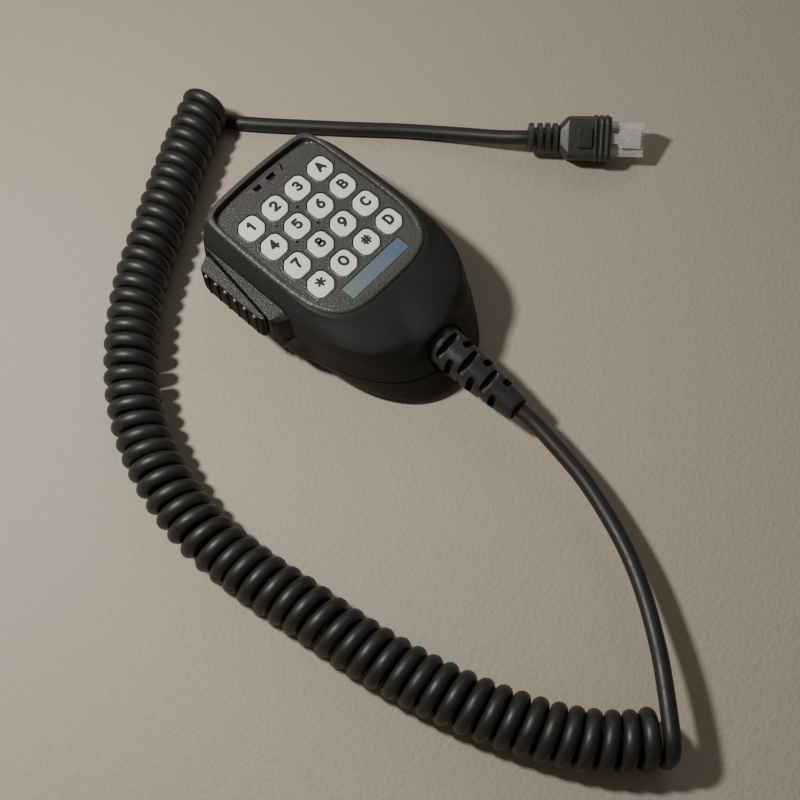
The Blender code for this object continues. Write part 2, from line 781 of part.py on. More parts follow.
def make_talk_bar():
    px, py = PIVOT
    bm = bmesh.new()
    rings = [[(x, y, z) for x, y in inset_outline(BAR_OUTLINE, inset)] for z, inset in BAR_LEVELS]
    add_loft(bm, rings)
    bmesh.ops.translate(bm, vec=(-px, -py, 0), verts=bm.verts)
    bar = new_object("talk_bar", bm, GRIP_PLASTIC, (px, py, 0))

    bm = bmesh.new()
    add_box(bm, (-33.6, -8.3, 16.8), (-30.1, -4.6, 22.0))
    add_box(bm, (-31.0, NUB_Y - 1.5, SWITCH_Z - 1.5), (-26.2, NUB_Y + 1.5, SWITCH_Z + 1.5))
    join(bar, helper("bar lug and nub", bm))

    bm = bmesh.new()
    for i in range(BAR_RIBS):
        y = BAR_FIRST_RIB + i * BAR_RIB_PITCH
        add_cylinder(bm, 0.75, (-34.25, y, 14.4), (-34.25, y, 23.2), 10)
    join(bar, helper("bar ribs", bm))

    bm = bmesh.new()
    add_cylinder(bm, 1.15, (px, py, 15.0), (px, py, 23.5), 16)
    cut(bar, helper("bar pivot hole", bm))

    bm = bmesh.new()
    add_cylinder(bm, 0.8, (px, py, 14.6), (px, py, 23.9), 16)
    new_object("talk_pivot_pin", bm, STEEL)


def frame_end(reach):
    """The outline of the surround's wrapped end, from the case wall out to the bar."""
    span = reach - FRAME_TIP
    return (
        (FRAME_INNER_X, reach),
        (-29.9, FRAME_TIP + 0.72 * span),
        (-31.9, FRAME_TIP + 0.36 * span),
        (-33.1, FRAME_TIP),
    )


def make_talk_frame():
    """The surround between the case wall and the bar, which wraps the bar's lower end."""
    bm = bmesh.new()
    rings = []
    for height, reach in FRAME_REACH:
        ring = [(FRAME_INNER_X, FRAME_TOP_END), (FRAME_INNER_X - 0.5, FRAME_TOP_END)]
        ring += [(-28.5, 20.6), (-32.8, -9.4), *reversed(frame_end(reach))]
        rings.append([(x, y, height) for x, y in ring])
    add_loft(bm, rings)
    frame = new_object("talk_frame", bm, GRIP_PLASTIC)

    bm = bmesh.new()
    add_box(bm, (-35, -8.9, 16.2), (-29.3, -3.9, 22.6))
    add_box(bm, (-35, NUB_Y - 2.4, SWITCH_Z - 2.0), (-25, NUB_Y + 2.4, SWITCH_Z + 2.0))
    cut(frame, helper("frame pockets", bm))
    bm = bmesh.new()
    add_cylinder(bm, 1.15, (*PIVOT, 14.2), (*PIVOT, 24.3), 16)
    cut(frame, helper("frame pivot hole", bm))


def make_talk_switch():
    low = (-24.4, NUB_Y - 3.0, SWITCH_Z - 2.0)
    high = (-19.4, NUB_Y + 3.0, SWITCH_Z + 1.8)
    body = box_object("talk_switch", low, high, CHIP_BLACK, 0.3)
    bm = bmesh.new()
    add_cylinder(bm, 1.6, (-26, NUB_Y, SWITCH_Z), (-21.4, NUB_Y, SWITCH_Z), 16)
    cut(body, helper("plunger well", bm))
    bm = bmesh.new()
    add_cylinder(bm, 1.25, (0, 0, 0), (2.9, 0, 0), 16)
    new_object("switch_plunger", bm, KEY_PLASTIC, (-25.9, NUB_Y, SWITCH_Z))


# Cord and plug


def make_boot():
    points = [(0, y, z) for y, z, _ in BOOT_SECTIONS]
    radii = [radius for _, _, radius in BOOT_SECTIONS]
    boot = tube_to_mesh(tube("cord_boot", points, 1.0, CORD_RUBBER, 4, radii))
    bm = bmesh.new()
    for y, radius, offset in BOOT_SLOTS:
        centre = GLAND_HEIGHT - 0.105 * max(-50.0 - y, 0.0)
        half = radius * (0.55 if offset else 0.64)
        for step in range(3):
            turn = math.radians(120 * step + 60 * offset - BOOT_TWIST)
            slot = bmesh.new()
            add_box(slot, (-half, y - 1.0, radius * 0.55), (half, y + 1.0, 9.5))
            place = Matrix.Translation((0, 0, centre)) @ Matrix.Rotation(turn, 4, "Y")
            bmesh.ops.transform(slot, matrix=place, verts=slot.verts)
            piece = bpy.data.meshes.new("slot")
            slot.to_mesh(piece)
            slot.free()
            bm.from_mesh(piece)
            bpy.data.meshes.remove(piece)
    cut(boot, helper("boot slots", bm))

    points = [(0, -42.6, GLAND_HEIGHT), (0, -38.9, GLAND_HEIGHT + 0.2), (0, -35.5, GLAND_HEIGHT - 2.2)]
    tube("inner_lead", through_points(points, 2.0), CORD_RADIUS, CORD_RUBBER)
    clamp = box_object("cord_clamp", (-6.0, -41.2, 15.4), (6.0, -38.4, 18.6), STEEL)
    bm = bmesh.new()
    add_cylinder(bm, CORD_RADIUS + GAP, (0, -45, GLAND_HEIGHT), (0, -35, GLAND_HEIGHT + 0.3), 20)
    cut(clamp, helper("clamp saddle", bm))


def make_cord():
    tube("lead_cord", through_points(LEAD_ROUTE, 9.0), CORD_RADIUS, CORD_RUBBER)
    coil = [(x, y, COIL_RADIUS + 0.05) for x, y in COIL_ROUTE]
    tube("coil_cord", through_points(coil, 13.0), COIL_RADIUS, CORD_RUBBER, 3)
    tube("tail_cord", through_points(TAIL_ROUTE, 9.0), CORD_RADIUS, CORD_RUBBER)


def plug_ring(x, half_width, low, high, corner):
    """A chamfered rectangle across the plug's axis."""
    outline = (
        (half_width, low + corner),
        (half_width, high - corner),
        (half_width - corner, high),
        (corner - half_width, high),
        (-half_width, high - corner),
        (-half_width, low + corner),
        (corner - half_width, low),
        (half_width - corner, low),
    )
    return [(x, y, z) for y, z in outline]


def make_plug():
    place = bpy.data.objects.new("plug place", None)
    turned = Matrix.Rotation(PLUG_TURN, 3, "Z") @ Matrix.Rotation(PLUG_ROLL, 3, "X")
    axis = Vector((*PLUG_PLACE, PLUG_AXIS_LIFT))
    place.location = (axis - turned @ Vector((0, 0, PLUG_AXIS_HEIGHT))) * MM
    place.rotation_euler = turned.to_euler()
    PARTS.objects.link(place)

    bm = bmesh.new()
    rings = [
        plug_ring(10.9, 4.4, 1.0, 9.4, 1.8),
        plug_ring(13.4, 7.2, 0.5, 10.5, 2.0),
        plug_ring(22.4, 7.4, 0.4, 11.3, 2.0),
    ]
    for x in PLUG_FINS:
        rings += [plug_ring(x + side, 8.0, 0.1, 12.1, 2.2) for side in (-0.35, 0.35)]
        rings += [plug_ring(x + side, 7.3, 0.5, 11.5, 2.0) for side in (0.55, 1.35)]
    add_loft(bm, rings)
    boot = new_object("plug_boot", bm, PLUG_RUBBER)
    bm = bmesh.new()
    add_cylinder(bm, 3.3, (0, 0, PLUG_AXIS_HEIGHT), (14.0, 0, PLUG_AXIS_HEIGHT), 16)
    join(boot, helper("boot sleeve", bm, place))
    bm = bmesh.new()
    for x, radius in PLUG_RIBS:
        add_cylinder(bm, radius, (x - 0.8, 0, PLUG_AXIS_HEIGHT), (x + 0.8, 0, PLUG_AXIS_HEIGHT), 16)
    join(boot, helper("boot ribs", bm, place))
    bm = bmesh.new()
    add_box(bm, (16.4, -3.4, 9.0), (21.4, 3.4, 12.4))
    join(boot, helper("latch cover", bm, place))
    start, nose, width, low, high = PLUG_BODY
    half = width / 2
    side, step, roof = half + GAP, high + GAP, 10.9
    outline = ((-side, low - GAP), (side, low - GAP), (side, step), (3.9, step))
    outline += ((3.9, roof), (-3.9, roof), (-3.9, step), (-side, step))
    bm = bmesh.new()
    add_side_prism(bm, outline, start - GAP, 35)
    cut(boot, helper("plug socket", bm, place))

    body = box_object("plug_body", (start, -half, low), (nose, half, high), CLEAR_PLASTIC)
    bm = bmesh.new()
    for i in range(PLUG_CONTACTS):
        y = (i - (PLUG_CONTACTS - 1) / 2) * CONTACT_PITCH
        add_box(bm, (nose - 4.6, y - 0.32, low - 1), (nose + 1, y + 0.32, low + 2.6))
    cut(body, helper("contact slots", bm, place))
    pieces = [boot, body]
    for i in range(PLUG_CONTACTS):
        y = (i - (PLUG_CONTACTS - 1) / 2) * CONTACT_PITCH
        blade_low, blade_high = (nose - 4.2, y - 0.14, low + 0.3), (nose - 0.6, y + 0.14, low + 2.3)
        blade = box_object(f"plug_contact_{i + 1}", blade_low, blade_high, GOLD)
        pieces.append(blade)

    hinge_x, hinge_z = LATCH_HINGE
    bm = bmesh.new()
    rings = (
        [(0.6, -3.0, -0.5), (0.6, 3.0, -0.5), (0.6, 3.0, 0.5), (0.6, -3.0, 0.5)],
        [(-6.4, -3.0, 0.1), (-6.4, 3.0, 0.1), (-6.4, 3.0, 1.1), (-6.4, -3.0, 1.1)],
        [(-7.2, -1.7, 0.2), (-7.2, 1.7, 0.2), (-7.2, 1.7, 1.2), (-7.2, -1.7, 1.2)],
        [(-17.0, -1.7, 0.8), (-17.0, 1.7, 0.8), (-17.0, 1.7, 1.7), (-17.0, -1.7, 1.7)],
    )
    add_loft(bm, rings)
    latch = new_object("plug_latch", bm, CLEAR_PLASTIC, (hinge_x, 0, hinge_z))
    pieces.append(latch)
    for piece in pieces:
        piece.parent = place


def shade_round_pieces():
    for obj in PARTS.objects:
        if obj.type == "MESH":
            obj.data.shade_smooth()
            obj.data.set_sharp_from_angle(angle=math.radians(35))


make_front_case()
make_rear_case()
make_bezel()
make_label()
make_lens()
make_keys()
make_membrane()
make_board()
make_capsule()
make_screws()
make_hang_button()
make_talk_bar()
make_talk_frame()
make_talk_switch()
make_boot()
make_cord()
make_plug()
shade_round_pieces()
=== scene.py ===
import math

import bmesh
import bpy
from mathutils import Matrix, Vector


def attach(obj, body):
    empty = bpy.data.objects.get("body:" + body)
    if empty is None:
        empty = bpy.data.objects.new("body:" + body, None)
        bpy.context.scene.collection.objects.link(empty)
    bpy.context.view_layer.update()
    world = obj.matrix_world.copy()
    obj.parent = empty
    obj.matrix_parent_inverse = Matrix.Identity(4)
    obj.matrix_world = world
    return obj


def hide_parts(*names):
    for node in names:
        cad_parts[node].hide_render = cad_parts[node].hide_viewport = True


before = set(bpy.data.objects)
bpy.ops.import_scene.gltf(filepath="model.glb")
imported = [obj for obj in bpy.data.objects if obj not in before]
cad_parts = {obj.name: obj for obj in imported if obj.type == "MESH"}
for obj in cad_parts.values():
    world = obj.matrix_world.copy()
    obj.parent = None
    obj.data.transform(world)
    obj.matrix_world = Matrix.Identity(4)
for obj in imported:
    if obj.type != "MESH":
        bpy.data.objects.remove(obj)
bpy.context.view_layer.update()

# Everything below is in millimetres until mesh_piece() or metres() turns it into metres.
MM = 0.001
GAP = 0.3


# ---------------- camera, floor and light

CAMERA_FROM = (-131.7, -152.5, 331.8)
CAMERA_AT = (-17.6, -49.1, 0.0)
CAMERA_LENS = 52.245


def metres(point):
    return Vector(point) * MM


def look(obj, start, target):
    obj.location = metres(start)
    obj.rotation_euler = (metres(target) - metres(start)).to_track_quat("-Z", "Y").to_euler()


camera = bpy.data.objects.new("camera", bpy.data.cameras.new("camera"))
camera.data.lens = CAMERA_LENS
camera.data.sensor_width = 36.0
look(camera, CAMERA_FROM, CAMERA_AT)
bpy.context.scene.collection.objects.link(camera)
bpy.context.scene.camera = camera


def area_light(name, start, target, size, watts, colour):
    light = bpy.data.lights.new(name, "AREA")
    light.shape = "DISK"
    light.size = size
    light.energy = watts
    light.color = colour
    obj = bpy.data.objects.new(name, light)
    look(obj, start, target)
    bpy.context.scene.collection.objects.link(obj)


LIGHT_AT = (-15, -50, 0)
area_light("key light", (-156, 138, 345), LIGHT_AT, 0.045, 1.85, (1.0, 0.98, 0.93))
area_light("fill light", (560, 260, 560), LIGHT_AT, 0.5, 0.75, (1.0, 0.97, 0.92))

world = bpy.data.worlds.new("studio")
world.use_nodes = True
background = world.node_tree.nodes["Background"]
background.inputs["Color"].default_value = (0.80, 0.73, 0.63, 1)
background.inputs["Strength"].default_value = 0.17
bpy.context.scene.world = world


# ---------------- materials


def nodes_of(made):
    return made.node_tree.nodes, made.node_tree.links


def material(
    name, colour, roughness, metallic=0.0, grain=(), mottle=0.0, mottle_scale=90.0, rough_range=0.0,
    rough_scale=700.0, **sockets,
):
    """A Principled material. grain is a list of (noise scale, strength, depth in mm, detail)."""
    made = bpy.data.materials.new(name)
    made.use_nodes = True
    nodes, links = nodes_of(made)
    shader = nodes["Principled BSDF"]
    shader.inputs["Base Color"].default_value = (*colour, 1.0)
    shader.inputs["Roughness"].default_value = roughness
    shader.inputs["Metallic"].default_value = metallic
    for socket, value in sockets.items():
        shader.inputs[socket.replace("_", " ")].default_value = value
    place = nodes.new("ShaderNodeTexCoord")
    if mottle:
        noise = add_noise(nodes, links, place, mottle_scale, 3.0)
        mix = nodes.new("ShaderNodeMix")
        mix.data_type = "RGBA"
        mix.inputs["A"].default_value = (*(c * (1 - mottle) for c in colour), 1.0)
        mix.inputs["B"].default_value = (*(min(c * (1 + mottle), 1.0) for c in colour), 1.0)
        links.new(noise.outputs["Fac"], mix.inputs["Factor"])
        links.new(mix.outputs["Result"], shader.inputs["Base Color"])
    if rough_range:
        noise = add_noise(nodes, links, place, rough_scale, 4.0)
        spread = nodes.new("ShaderNodeMapRange")
        limits = (0.3, 0.7, max(roughness - rough_range, 0.0), min(roughness + rough_range, 1.0))
        for socket, value in zip(("From Min", "From Max", "To Min", "To Max"), limits):
            spread.inputs[socket].default_value = value
        links.new(noise.outputs["Fac"], spread.inputs["Value"])
        links.new(spread.outputs["Result"], shader.inputs["Roughness"])
    before = None
    for scale, strength, depth, detail in grain:
        noise = add_noise(nodes, links, place, scale, detail)
        bump = nodes.new("ShaderNodeBump")
        bump.inputs["Strength"].default_value = strength
        bump.inputs["Distance"].default_value = depth * MM
        links.new(noise.outputs["Fac"], bump.inputs["Height"])
        if before:
            links.new(before.outputs["Normal"], bump.inputs["Normal"])
        before = bump
    if before:
        links.new(before.outputs["Normal"], shader.inputs["Normal"])
    return made


def add_noise(nodes, links, place, scale, detail):
    noise = nodes.new("ShaderNodeTexNoise")
    noise.inputs["Scale"].default_value = scale
    noise.inputs["Detail"].default_value = detail
    noise.inputs["Roughness"].default_value = 0.55
    links.new(place.outputs["Object"], noise.inputs["Vector"])
    return noise


CASE = material(
    "case satin", (0.0160, 0.0154, 0.0149), 0.58,
    grain=((4200, 0.3, 0.02, 2.0), (180, 0.12, 0.08, 2.0)), mottle=0.12, rough_range=0.05,
    Specular_IOR_Level=0.27,
)
BEZEL = material(
    "bezel grain", (0.052, 0.051, 0.049), 0.36,
    grain=((1500, 0.9, 0.30, 2.0), (4200, 0.5, 0.08, 1.0)), mottle=0.3, mottle_scale=1700, rough_range=0.12,
    rough_scale=2600,
)
GRIP = material(
    "grip grain", (0.044, 0.043, 0.041), 0.36,
    grain=((1700, 1.0, 0.30, 2.0), (4600, 0.5, 0.08, 1.0)), mottle=0.3, mottle_scale=1800, rough_range=0.12,
    rough_scale=2600,
)
GLOSS = material(
    "grip gloss", (0.0035, 0.0035, 0.0035), 0.36, grain=((900, 0.10, 0.03, 2.0),), rough_range=0.05,
    Specular_IOR_Level=0.03,
)
# The rib tips' light base colour is a painted glint: it stands in for the small bright highlights on the rib
# ends.
RIB_TIP_PAINTED_GLINT = material(
    "rib tips painted glint", (0.16, 0.155, 0.15), 0.25, grain=((1500, 0.15, 0.03, 2.0),), rough_range=0.06,
    Specular_IOR_Level=0.8,
)
KEY = material(
    "key cap", (0.67, 0.705, 0.685), 0.42,
    grain=((5200, 0.12, 0.01, 2.0), (140, 0.10, 0.05, 1.0)), mottle=0.025, mottle_scale=240, rough_range=0.05,
    Subsurface_Weight=0.08, Subsurface_Scale=0.001,
)
INK = material("legend ink", (0.016, 0.016, 0.018), 0.45, mottle=0.3, mottle_scale=2500, rough_range=0.08)
CORD = material(
    "cord jacket", (0.0130, 0.0125, 0.0121), 0.48,
    grain=((1500, 0.10, 0.03, 3.0), (5200, 0.12, 0.01, 2.0)), mottle=0.18, mottle_scale=130, rough_range=0.07,
    rough_scale=420,
)
BOOT = material(
    "boot satin", (0.024, 0.0232, 0.0238), 0.35,
    grain=((2400, 0.8, 0.10, 2.0), (6000, 0.4, 0.03, 1.0)), mottle=0.25, mottle_scale=1600, rough_range=0.08,
)
PLUG_RUBBER = material(
    "plug rubber", (0.0290, 0.0300, 0.0285), 0.40,
    grain=((2200, 0.30, 0.04, 2.0),), mottle=0.2, mottle_scale=400, rough_range=0.08,
)
# The lens colour is its own purple, darkened further as painted shade for its recess.
LENS_WITH_PAINTED_SHADE = material(
    "status lens with painted shade", (0.075, 0.062, 0.076), 0.26,
    grain=((700, 0.08, 0.03, 1.0),), mottle=0.15, mottle_scale=300, rough_range=0.06,
)
# Near-black painted shade for the lens windows: it stands in for the dark depth seen through them.
PAINTED_WELL_SHADE = material("painted well shade", (0.004, 0.004, 0.004), 0.5, grain=((2000, 0.1, 0.02, 1.0),))
# Its diffuse white share is a painted highlight, standing in for the plug's bright reflections.
CLEAR_WITH_PAINTED_HIGHLIGHT = material(
    "clear plastic with painted highlight", (0.99, 0.985, 0.97), 0.10, grain=((500, 0.12, 0.06, 2.0),), rough_range=0.04,
    Transmission_Weight=0.74, IOR=1.49,
)
GOLD = material(
    "gold contacts", (0.83, 0.58, 0.24), 0.26, 1.0, grain=((2500, 0.12, 0.02, 2.0),), mottle=0.1,
    mottle_scale=900, rough_range=0.08,
)
STEEL = material(
    "screw steel", (0.46, 0.46, 0.45), 0.34, 1.0, grain=((1800, 0.2, 0.03, 3.0),), mottle=0.12,
    mottle_scale=700, rough_range=0.10,
)
BOARD = material(
    "board green", (0.022, 0.13, 0.06), 0.36, grain=((1400, 0.15, 0.02, 2.0),), mottle=0.25, mottle_scale=500,
    rough_range=0.08,
)
SILICONE = material("silicone", (0.30, 0.30, 0.30), 0.58, grain=((1800, 0.15, 0.03, 2.0),), mottle=0.08)
CHIP = material("chip", (0.02, 0.02, 0.021), 0.5, grain=((2500, 0.25, 0.03, 2.0),), mottle=0.15)
WIRES = [
    material(f"wire {name}", colour, 0.4, grain=((1500, 0.1, 0.02, 1.0),), mottle=0.08, mottle_scale=600)
    for name, colour in (
        ("white", (0.75, 0.72, 0.68)), ("orange", (0.80, 0.30, 0.05)), ("brown", (0.28, 0.13, 0.07)),
        ("green", (0.10, 0.35, 0.12)), ("blue", (0.10, 0.20, 0.55)), ("red", (0.60, 0.07, 0.05)),
        ("black", (0.03, 0.03, 0.03)), ("yellow", (0.80, 0.62, 0.12)),
    )
]


def label_material():
    """Blue-grey film that turns a little greener towards one end."""
    made = material("label film", (0.13, 0.19, 0.26), 0.5, grain=((1600, 0.1, 0.02, 2.0),), rough_range=0.05)
    nodes, links = nodes_of(made)
    place = nodes.new("ShaderNodeTexCoord")
    split = nodes.new("ShaderNodeSeparateXYZ")
    spread = nodes.new("ShaderNodeMapRange")
    ramp = nodes.new("ShaderNodeValToRGB")
    noise = add_noise(nodes, links, place, 260.0, 3.0)
    total = nodes.new("ShaderNodeMath")
    total.operation = "MULTIPLY_ADD"
    total.inputs[1].default_value = 0.35
    spread.inputs["From Min"].default_value = -0.013
    spread.inputs["From Max"].default_value = 0.013
    links.new(place.outputs["Object"], split.inputs["Vector"])
    links.new(split.outputs["X"], spread.inputs["Value"])
    links.new(noise.outputs["Fac"], total.inputs[0])
    links.new(spread.outputs["Result"], total.inputs[2])
    links.new(total.outputs["Value"], ramp.inputs["Fac"])
    first, last = ramp.color_ramp.elements
    first.position = 0.1
    first.color = (0.13, 0.178, 0.19, 1)
    last.color = (0.078, 0.118, 0.178, 1)
    links.new(ramp.outputs["Color"], nodes["Principled BSDF"].inputs["Base Color"])
    return made


LABEL = label_material()
FLOOR = material(
    "floor", (0.385, 0.335, 0.268), 0.72,
    grain=((620, 0.75, 0.4, 3.0), (1700, 0.5, 0.15, 2.0)), mottle=0.05, mottle_scale=350,
)

bpy.ops.mesh.primitive_plane_add(size=6.0, location=(0, 0, 0))
floor = bpy.context.object
floor.name = "floor"
floor.data.materials.append(FLOOR)


# ---------------- mesh helpers


def add_box(bm, low, high):
    low, high = Vector(low), Vector(high)
    size = high - low
    where = Matrix.Translation((low + high) / 2) @ Matrix.Diagonal((size.x, size.y, size.z, 1.0))
    bmesh.ops.create_cube(bm, size=1.0, matrix=where)


def boxes(*corners):
    bm = bmesh.new()
    for low, high in corners:
        add_box(bm, low, high)
    return bm


def add_cylinder(bm, radius, start, end, sides=48):
    start, end = Vector(start), Vector(end)
    axis = end - start
    turn = axis.to_track_quat("Z", "Y").to_matrix().to_4x4()
    where = Matrix.Translation((start + end) / 2) @ turn
    bmesh.ops.create_cone(
        bm, cap_ends=True, segments=sides, radius1=radius, radius2=radius, depth=axis.length, matrix=where
    )


def add_loft(bm, rings, around=False):
    """Faces through rings of equal count: capped at both ends, or joined round into a closed shell."""
    rows = [[bm.verts.new(point) for point in ring] for ring in rings]
    count = len(rows[0])
    pairs = list(zip(rows, rows[1:]))
    if around:
        pairs.append((rows[-1], rows[0]))
    for row, following in pairs:
        for i in range(count):
            j = (i + 1) % count
            bm.faces.new((row[i], row[j], following[j], following[i]))
    if not around:
        bm.faces.new(list(reversed(rows[0])))
        bm.faces.new(rows[-1])


def loft(rings, around=False):
    bm = bmesh.new()
    add_loft(bm, rings, around)
    return bm


def box_outline(left, right, low, high):
    return [(left, low), (right, low), (right, high), (left, high)]


def add_prism(bm, outline, low, high):
    add_loft(bm, [[(x, y, z) for x, y in outline] for z in (low, high)])


def mesh_piece(name, bm, *looks, sharp=32):
    bmesh.ops.scale(bm, vec=(MM, MM, MM), verts=bm.verts)
    bmesh.ops.recalc_face_normals(bm, faces=bm.faces)
    mesh = bpy.data.meshes.new(name)
    bm.to_mesh(mesh)
    bm.free()
    obj = bpy.data.objects.new(name, mesh)
    for look_ in looks:
        mesh.materials.append(look_)
    bpy.context.scene.collection.objects.link(obj)
    shade(obj, sharp)
    return obj


def shade(obj, sharp):
    obj.data.shade_smooth()
    obj.data.set_sharp_from_angle(angle=math.radians(sharp))
    if "normals" not in obj.modifiers:
        step = obj.modifiers.new("normals", "WEIGHTED_NORMAL")
        step.keep_sharp = True


def combine(obj, bm, operation, sharp=32, look_=None, overlapping=False):
    """Cuts the shape in bm from the piece, or joins it to the piece, and keeps the result."""
    other = mesh_piece("tool", bm, *([look_] if look_ else []))
    if look_ and look_.name not in obj.data.materials:
        obj.data.materials.append(look_)
    step = obj.modifiers.new(operation, "BOOLEAN")
    step.operation = operation
    step.solver = "EXACT"
    step.object = other
    step.use_self = overlapping
    step.material_mode = "TRANSFER" if look_ else "INDEX"
    bake(obj, sharp)
    bpy.data.objects.remove(other, do_unlink=True)


def bake(obj, sharp=32):
    """Keeps what the modifiers make as the piece's own mesh."""
    obj.modifiers.remove(obj.modifiers["normals"])
    bpy.context.view_layer.update()
    graph = bpy.context.evaluated_depsgraph_get()
    mesh = bpy.data.meshes.new_from_object(obj.evaluated_get(graph))
    obj.modifiers.clear()
    obj.data = mesh
    shade(obj, sharp)


def bevel(obj, width, segments=3, angle=30, sharp=32):
    step = obj.modifiers.new("bevel", "BEVEL")
    step.width = width * MM
    step.segments = segments
    step.limit_method = "ANGLE"
    step.angle_limit = math.radians(angle)
    bake(obj, sharp)


def rounded(points, radius, steps=5):
    """The polygon with each corner replaced by an arc."""
    made = []
    count = len(points)
    for i in range(count):
        before, corner, after = (Vector(points[(i + k) % count]) for k in (-1, 0, 1))
        a, b = (before - corner), (after - corner)
        reach = min(radius * 1.2, a.length * 0.49, b.length * 0.49)
        start, end = corner + a.normalized() * reach, corner + b.normalized() * reach
        for k in range(steps + 1):
            t = k / steps
            made.append(tuple(start * (1 - t) ** 2 + corner * 2 * t * (1 - t) + end * t * t))
    return made


def smooth_step(value, start, end):
    part = min(max((value - start) / (end - start), 0.0), 1.0)
    return part * part * (3 - 2 * part)


def through(rows, count):
    """count readings on a smooth curve through rows of numbers, spaced evenly by row."""
    rows = [Vector(row) for row in rows]
    ends = [2 * rows[0] - rows[1]] + rows + [2 * rows[-1] - rows[-2]]
    made = []
    for i in range(count):
        place = i / (count - 1) * (len(rows) - 1)
        k = min(int(place), len(rows) - 2)
        t = place - k
        p0, p1, p2, p3 = ends[k:k + 4]
        made.append(
            0.5 * (2 * p1 + (p2 - p0) * t + (2 * p0 - 5 * p1 + 4 * p2 - p3) * t * t
                   + (3 * p1 - p0 - 3 * p2 + p3) * t ** 3)
        )
    return made


def smooth_path(route, spacing):
    """Points at an even spacing on a smooth curve through the route."""
    points = [Vector(p) for p in route]
    tangents = []
    for i in range(len(points)):
        before, after = points[max(i - 1, 0)], points[min(i + 1, len(points) - 1)]
        tangents.append((after - before).normalized())
    fine = []
    for i in range(len(points) - 1):
        reach = (points[i + 1] - points[i]).length
        for k in range(40):
            t = k / 40
            fine.append(
                points[i] * (2 * t**3 - 3 * t**2 + 1) + tangents[i] * reach * (t**3 - 2 * t**2 + t)
                + points[i + 1] * (3 * t**2 - 2 * t**3) + tangents[i + 1] * reach * (t**3 - t**2)
            )
    fine.append(points[-1])
    lengths = [0.0]
    for one, other in zip(fine, fine[1:]):
        lengths.append(lengths[-1] + (other - one).length)
    count = max(round(lengths[-1] / spacing), 2)
    made, segment = [], 0
    for i in range(count + 1):
        target = lengths[-1] * i / count
        while segment < len(fine) - 2 and lengths[segment + 1] < target:
            segment += 1
        span = lengths[segment + 1] - lengths[segment]
        made.append(fine[segment].lerp(fine[segment + 1], (target - lengths[segment]) / span))
    return made, lengths[-1]


def tube(name, points, radius, look_, resolution=5):
    """A round curve through the points."""
    curve = bpy.data.curves.new(name, "CURVE")
    curve.dimensions = "3D"
    curve.bevel_depth = radius * MM
    curve.bevel_resolution = resolution
    curve.use_fill_caps = True
    spline = curve.splines.new("POLY")
    spline.points.add(len(points) - 1)
    for target, point in zip(spline.points, points):
        target.co = (*metres(point), 1.0)
    spline.use_smooth = True
    curve.materials.append(look_)
    obj = bpy.data.objects.new(name, curve)
    bpy.context.scene.collection.objects.link(obj)
    return obj


# ---------------- cord

CORD_RADIUS = 2.42
COIL_CENTRE_HEIGHT = 8.65
COIL_MEAN_RADIUS = 6.2
COIL_TURNS = 58.5
# How far the first and the last turn are from the ends of the coil's axis: (tail's end, lead's end)
COIL_INSETS = (2.6, 6.8)
STEPS_PER_TURN = 26

# Centre lines: the lead from the strain relief, the coil's axis on the surface, the tail to the plug.
LEAD_ROUTE = (
    (0.2, -76.0, 12.35), (0.2, -81.7, 11.8), (0.1, -87.5, 11.2), (-0.9, -95.0, 10.7),
    (-3.7, -109.5, 10.2), (-8.3, -122.8, 10.2), (-14.0, -134.8, 10.7), (-21.2, -145.7, 11.6),
    (-30.9, -157.2, 13.4), (-38.2, -164.6, 14.5),
)
COIL_ROUTE = (
    (21.4, 75.3), (7.8, 69.2), (-12.2, 58.2), (-30.9, 47.3), (-48.8, 35.9), (-64.9, 21.4), (-77.9, 4.8),
    (-86.6, -14.9), (-90.7, -35.9), (-90.0, -55.6), (-87.0, -75.9), (-84.2, -95.5), (-79.6, -115.6),
    (-73.0, -134.9), (-64.0, -153.5), (-55.2, -165.2), (-47.2, -172.0), (-40.9, -176.6),
)
TAIL_ROUTE = (
    (22.3, 65.8, 2.5), (27.0, 59.0, 2.5), (36.6, 47.0, 2.5), (47.8, 33.2, 2.5), (59.0, 19.6, 2.6),
    (69.0, 5.3, 3.7), (77.9, -9.3, 5.9), (82.5, -16.45, 7.5), (86.3, -20.9, 7.6),
)


def coil_points():
    """The curly part's centre line, from the tail's end to the lead's end; it winds left-handed."""
    centres, length = smooth_path([(x, y, COIL_CENTRE_HEIGHT) for x, y in COIL_ROUTE], 1.0)
    step = length / (len(centres) - 1)
    total = round(COIL_TURNS * STEPS_PER_TURN)
    made = []
    for i in range(total + 1):
        part = i / total
        wobble = 0.35 * math.sin(part * 37.0) + 0.22 * math.sin(part * 91.0 + 1.0)
        along = COIL_INSETS[0] + (length - sum(COIL_INSETS)) * part + wobble * math.sin(math.pi * part)
        k = min(int(along / step), len(centres) - 2)
        centre = centres[k].lerp(centres[k + 1], along / step - k)
        heading = (centres[min(k + 3, len(centres) - 1)] - centres[max(k - 2, 0)]).normalized()
        side = Vector((-heading.y, heading.x, 0.0))
        angle = math.pi * (2 * i / STEPS_PER_TURN - 1)
        outward = math.sin(angle) * side + math.cos(angle) * Vector((0, 0, 1))
        made.append(centre + COIL_MEAN_RADIUS * outward)
    return made


def up_to(path, point, room):
    """The path's points before it comes nearest to the given point, without those closer to it than room."""
    nearest = min(range(len(path)), key=lambda i: (path[i] - point).length)
    return [p for p in path[:nearest] if (p - point).length > room]


def make_cord():
    coil = coil_points()
    lead, _ = smooth_path([*LEAD_ROUTE, coil[-1], coil[-3]], 2.0)
    tail, _ = smooth_path([*reversed(TAIL_ROUTE), coil[0], coil[2]], 2.0)
    lead = up_to(lead, coil[-1], 1.0)
    tail = list(reversed(up_to(tail, coil[0], 1.0)))
    path = lead + list(reversed(coil)) + tail
    cord = tube("curly_cord", path, CORD_RADIUS, CORD)
    return cord, sum((b - a).length for a, b in zip(path, path[1:]))


cord, cord_length = make_cord()


# ---------------- case

PARTING = 12.0
BODY_MIDDLE = -5.0
BODY_TOP_ROUNDNESS = 10.0
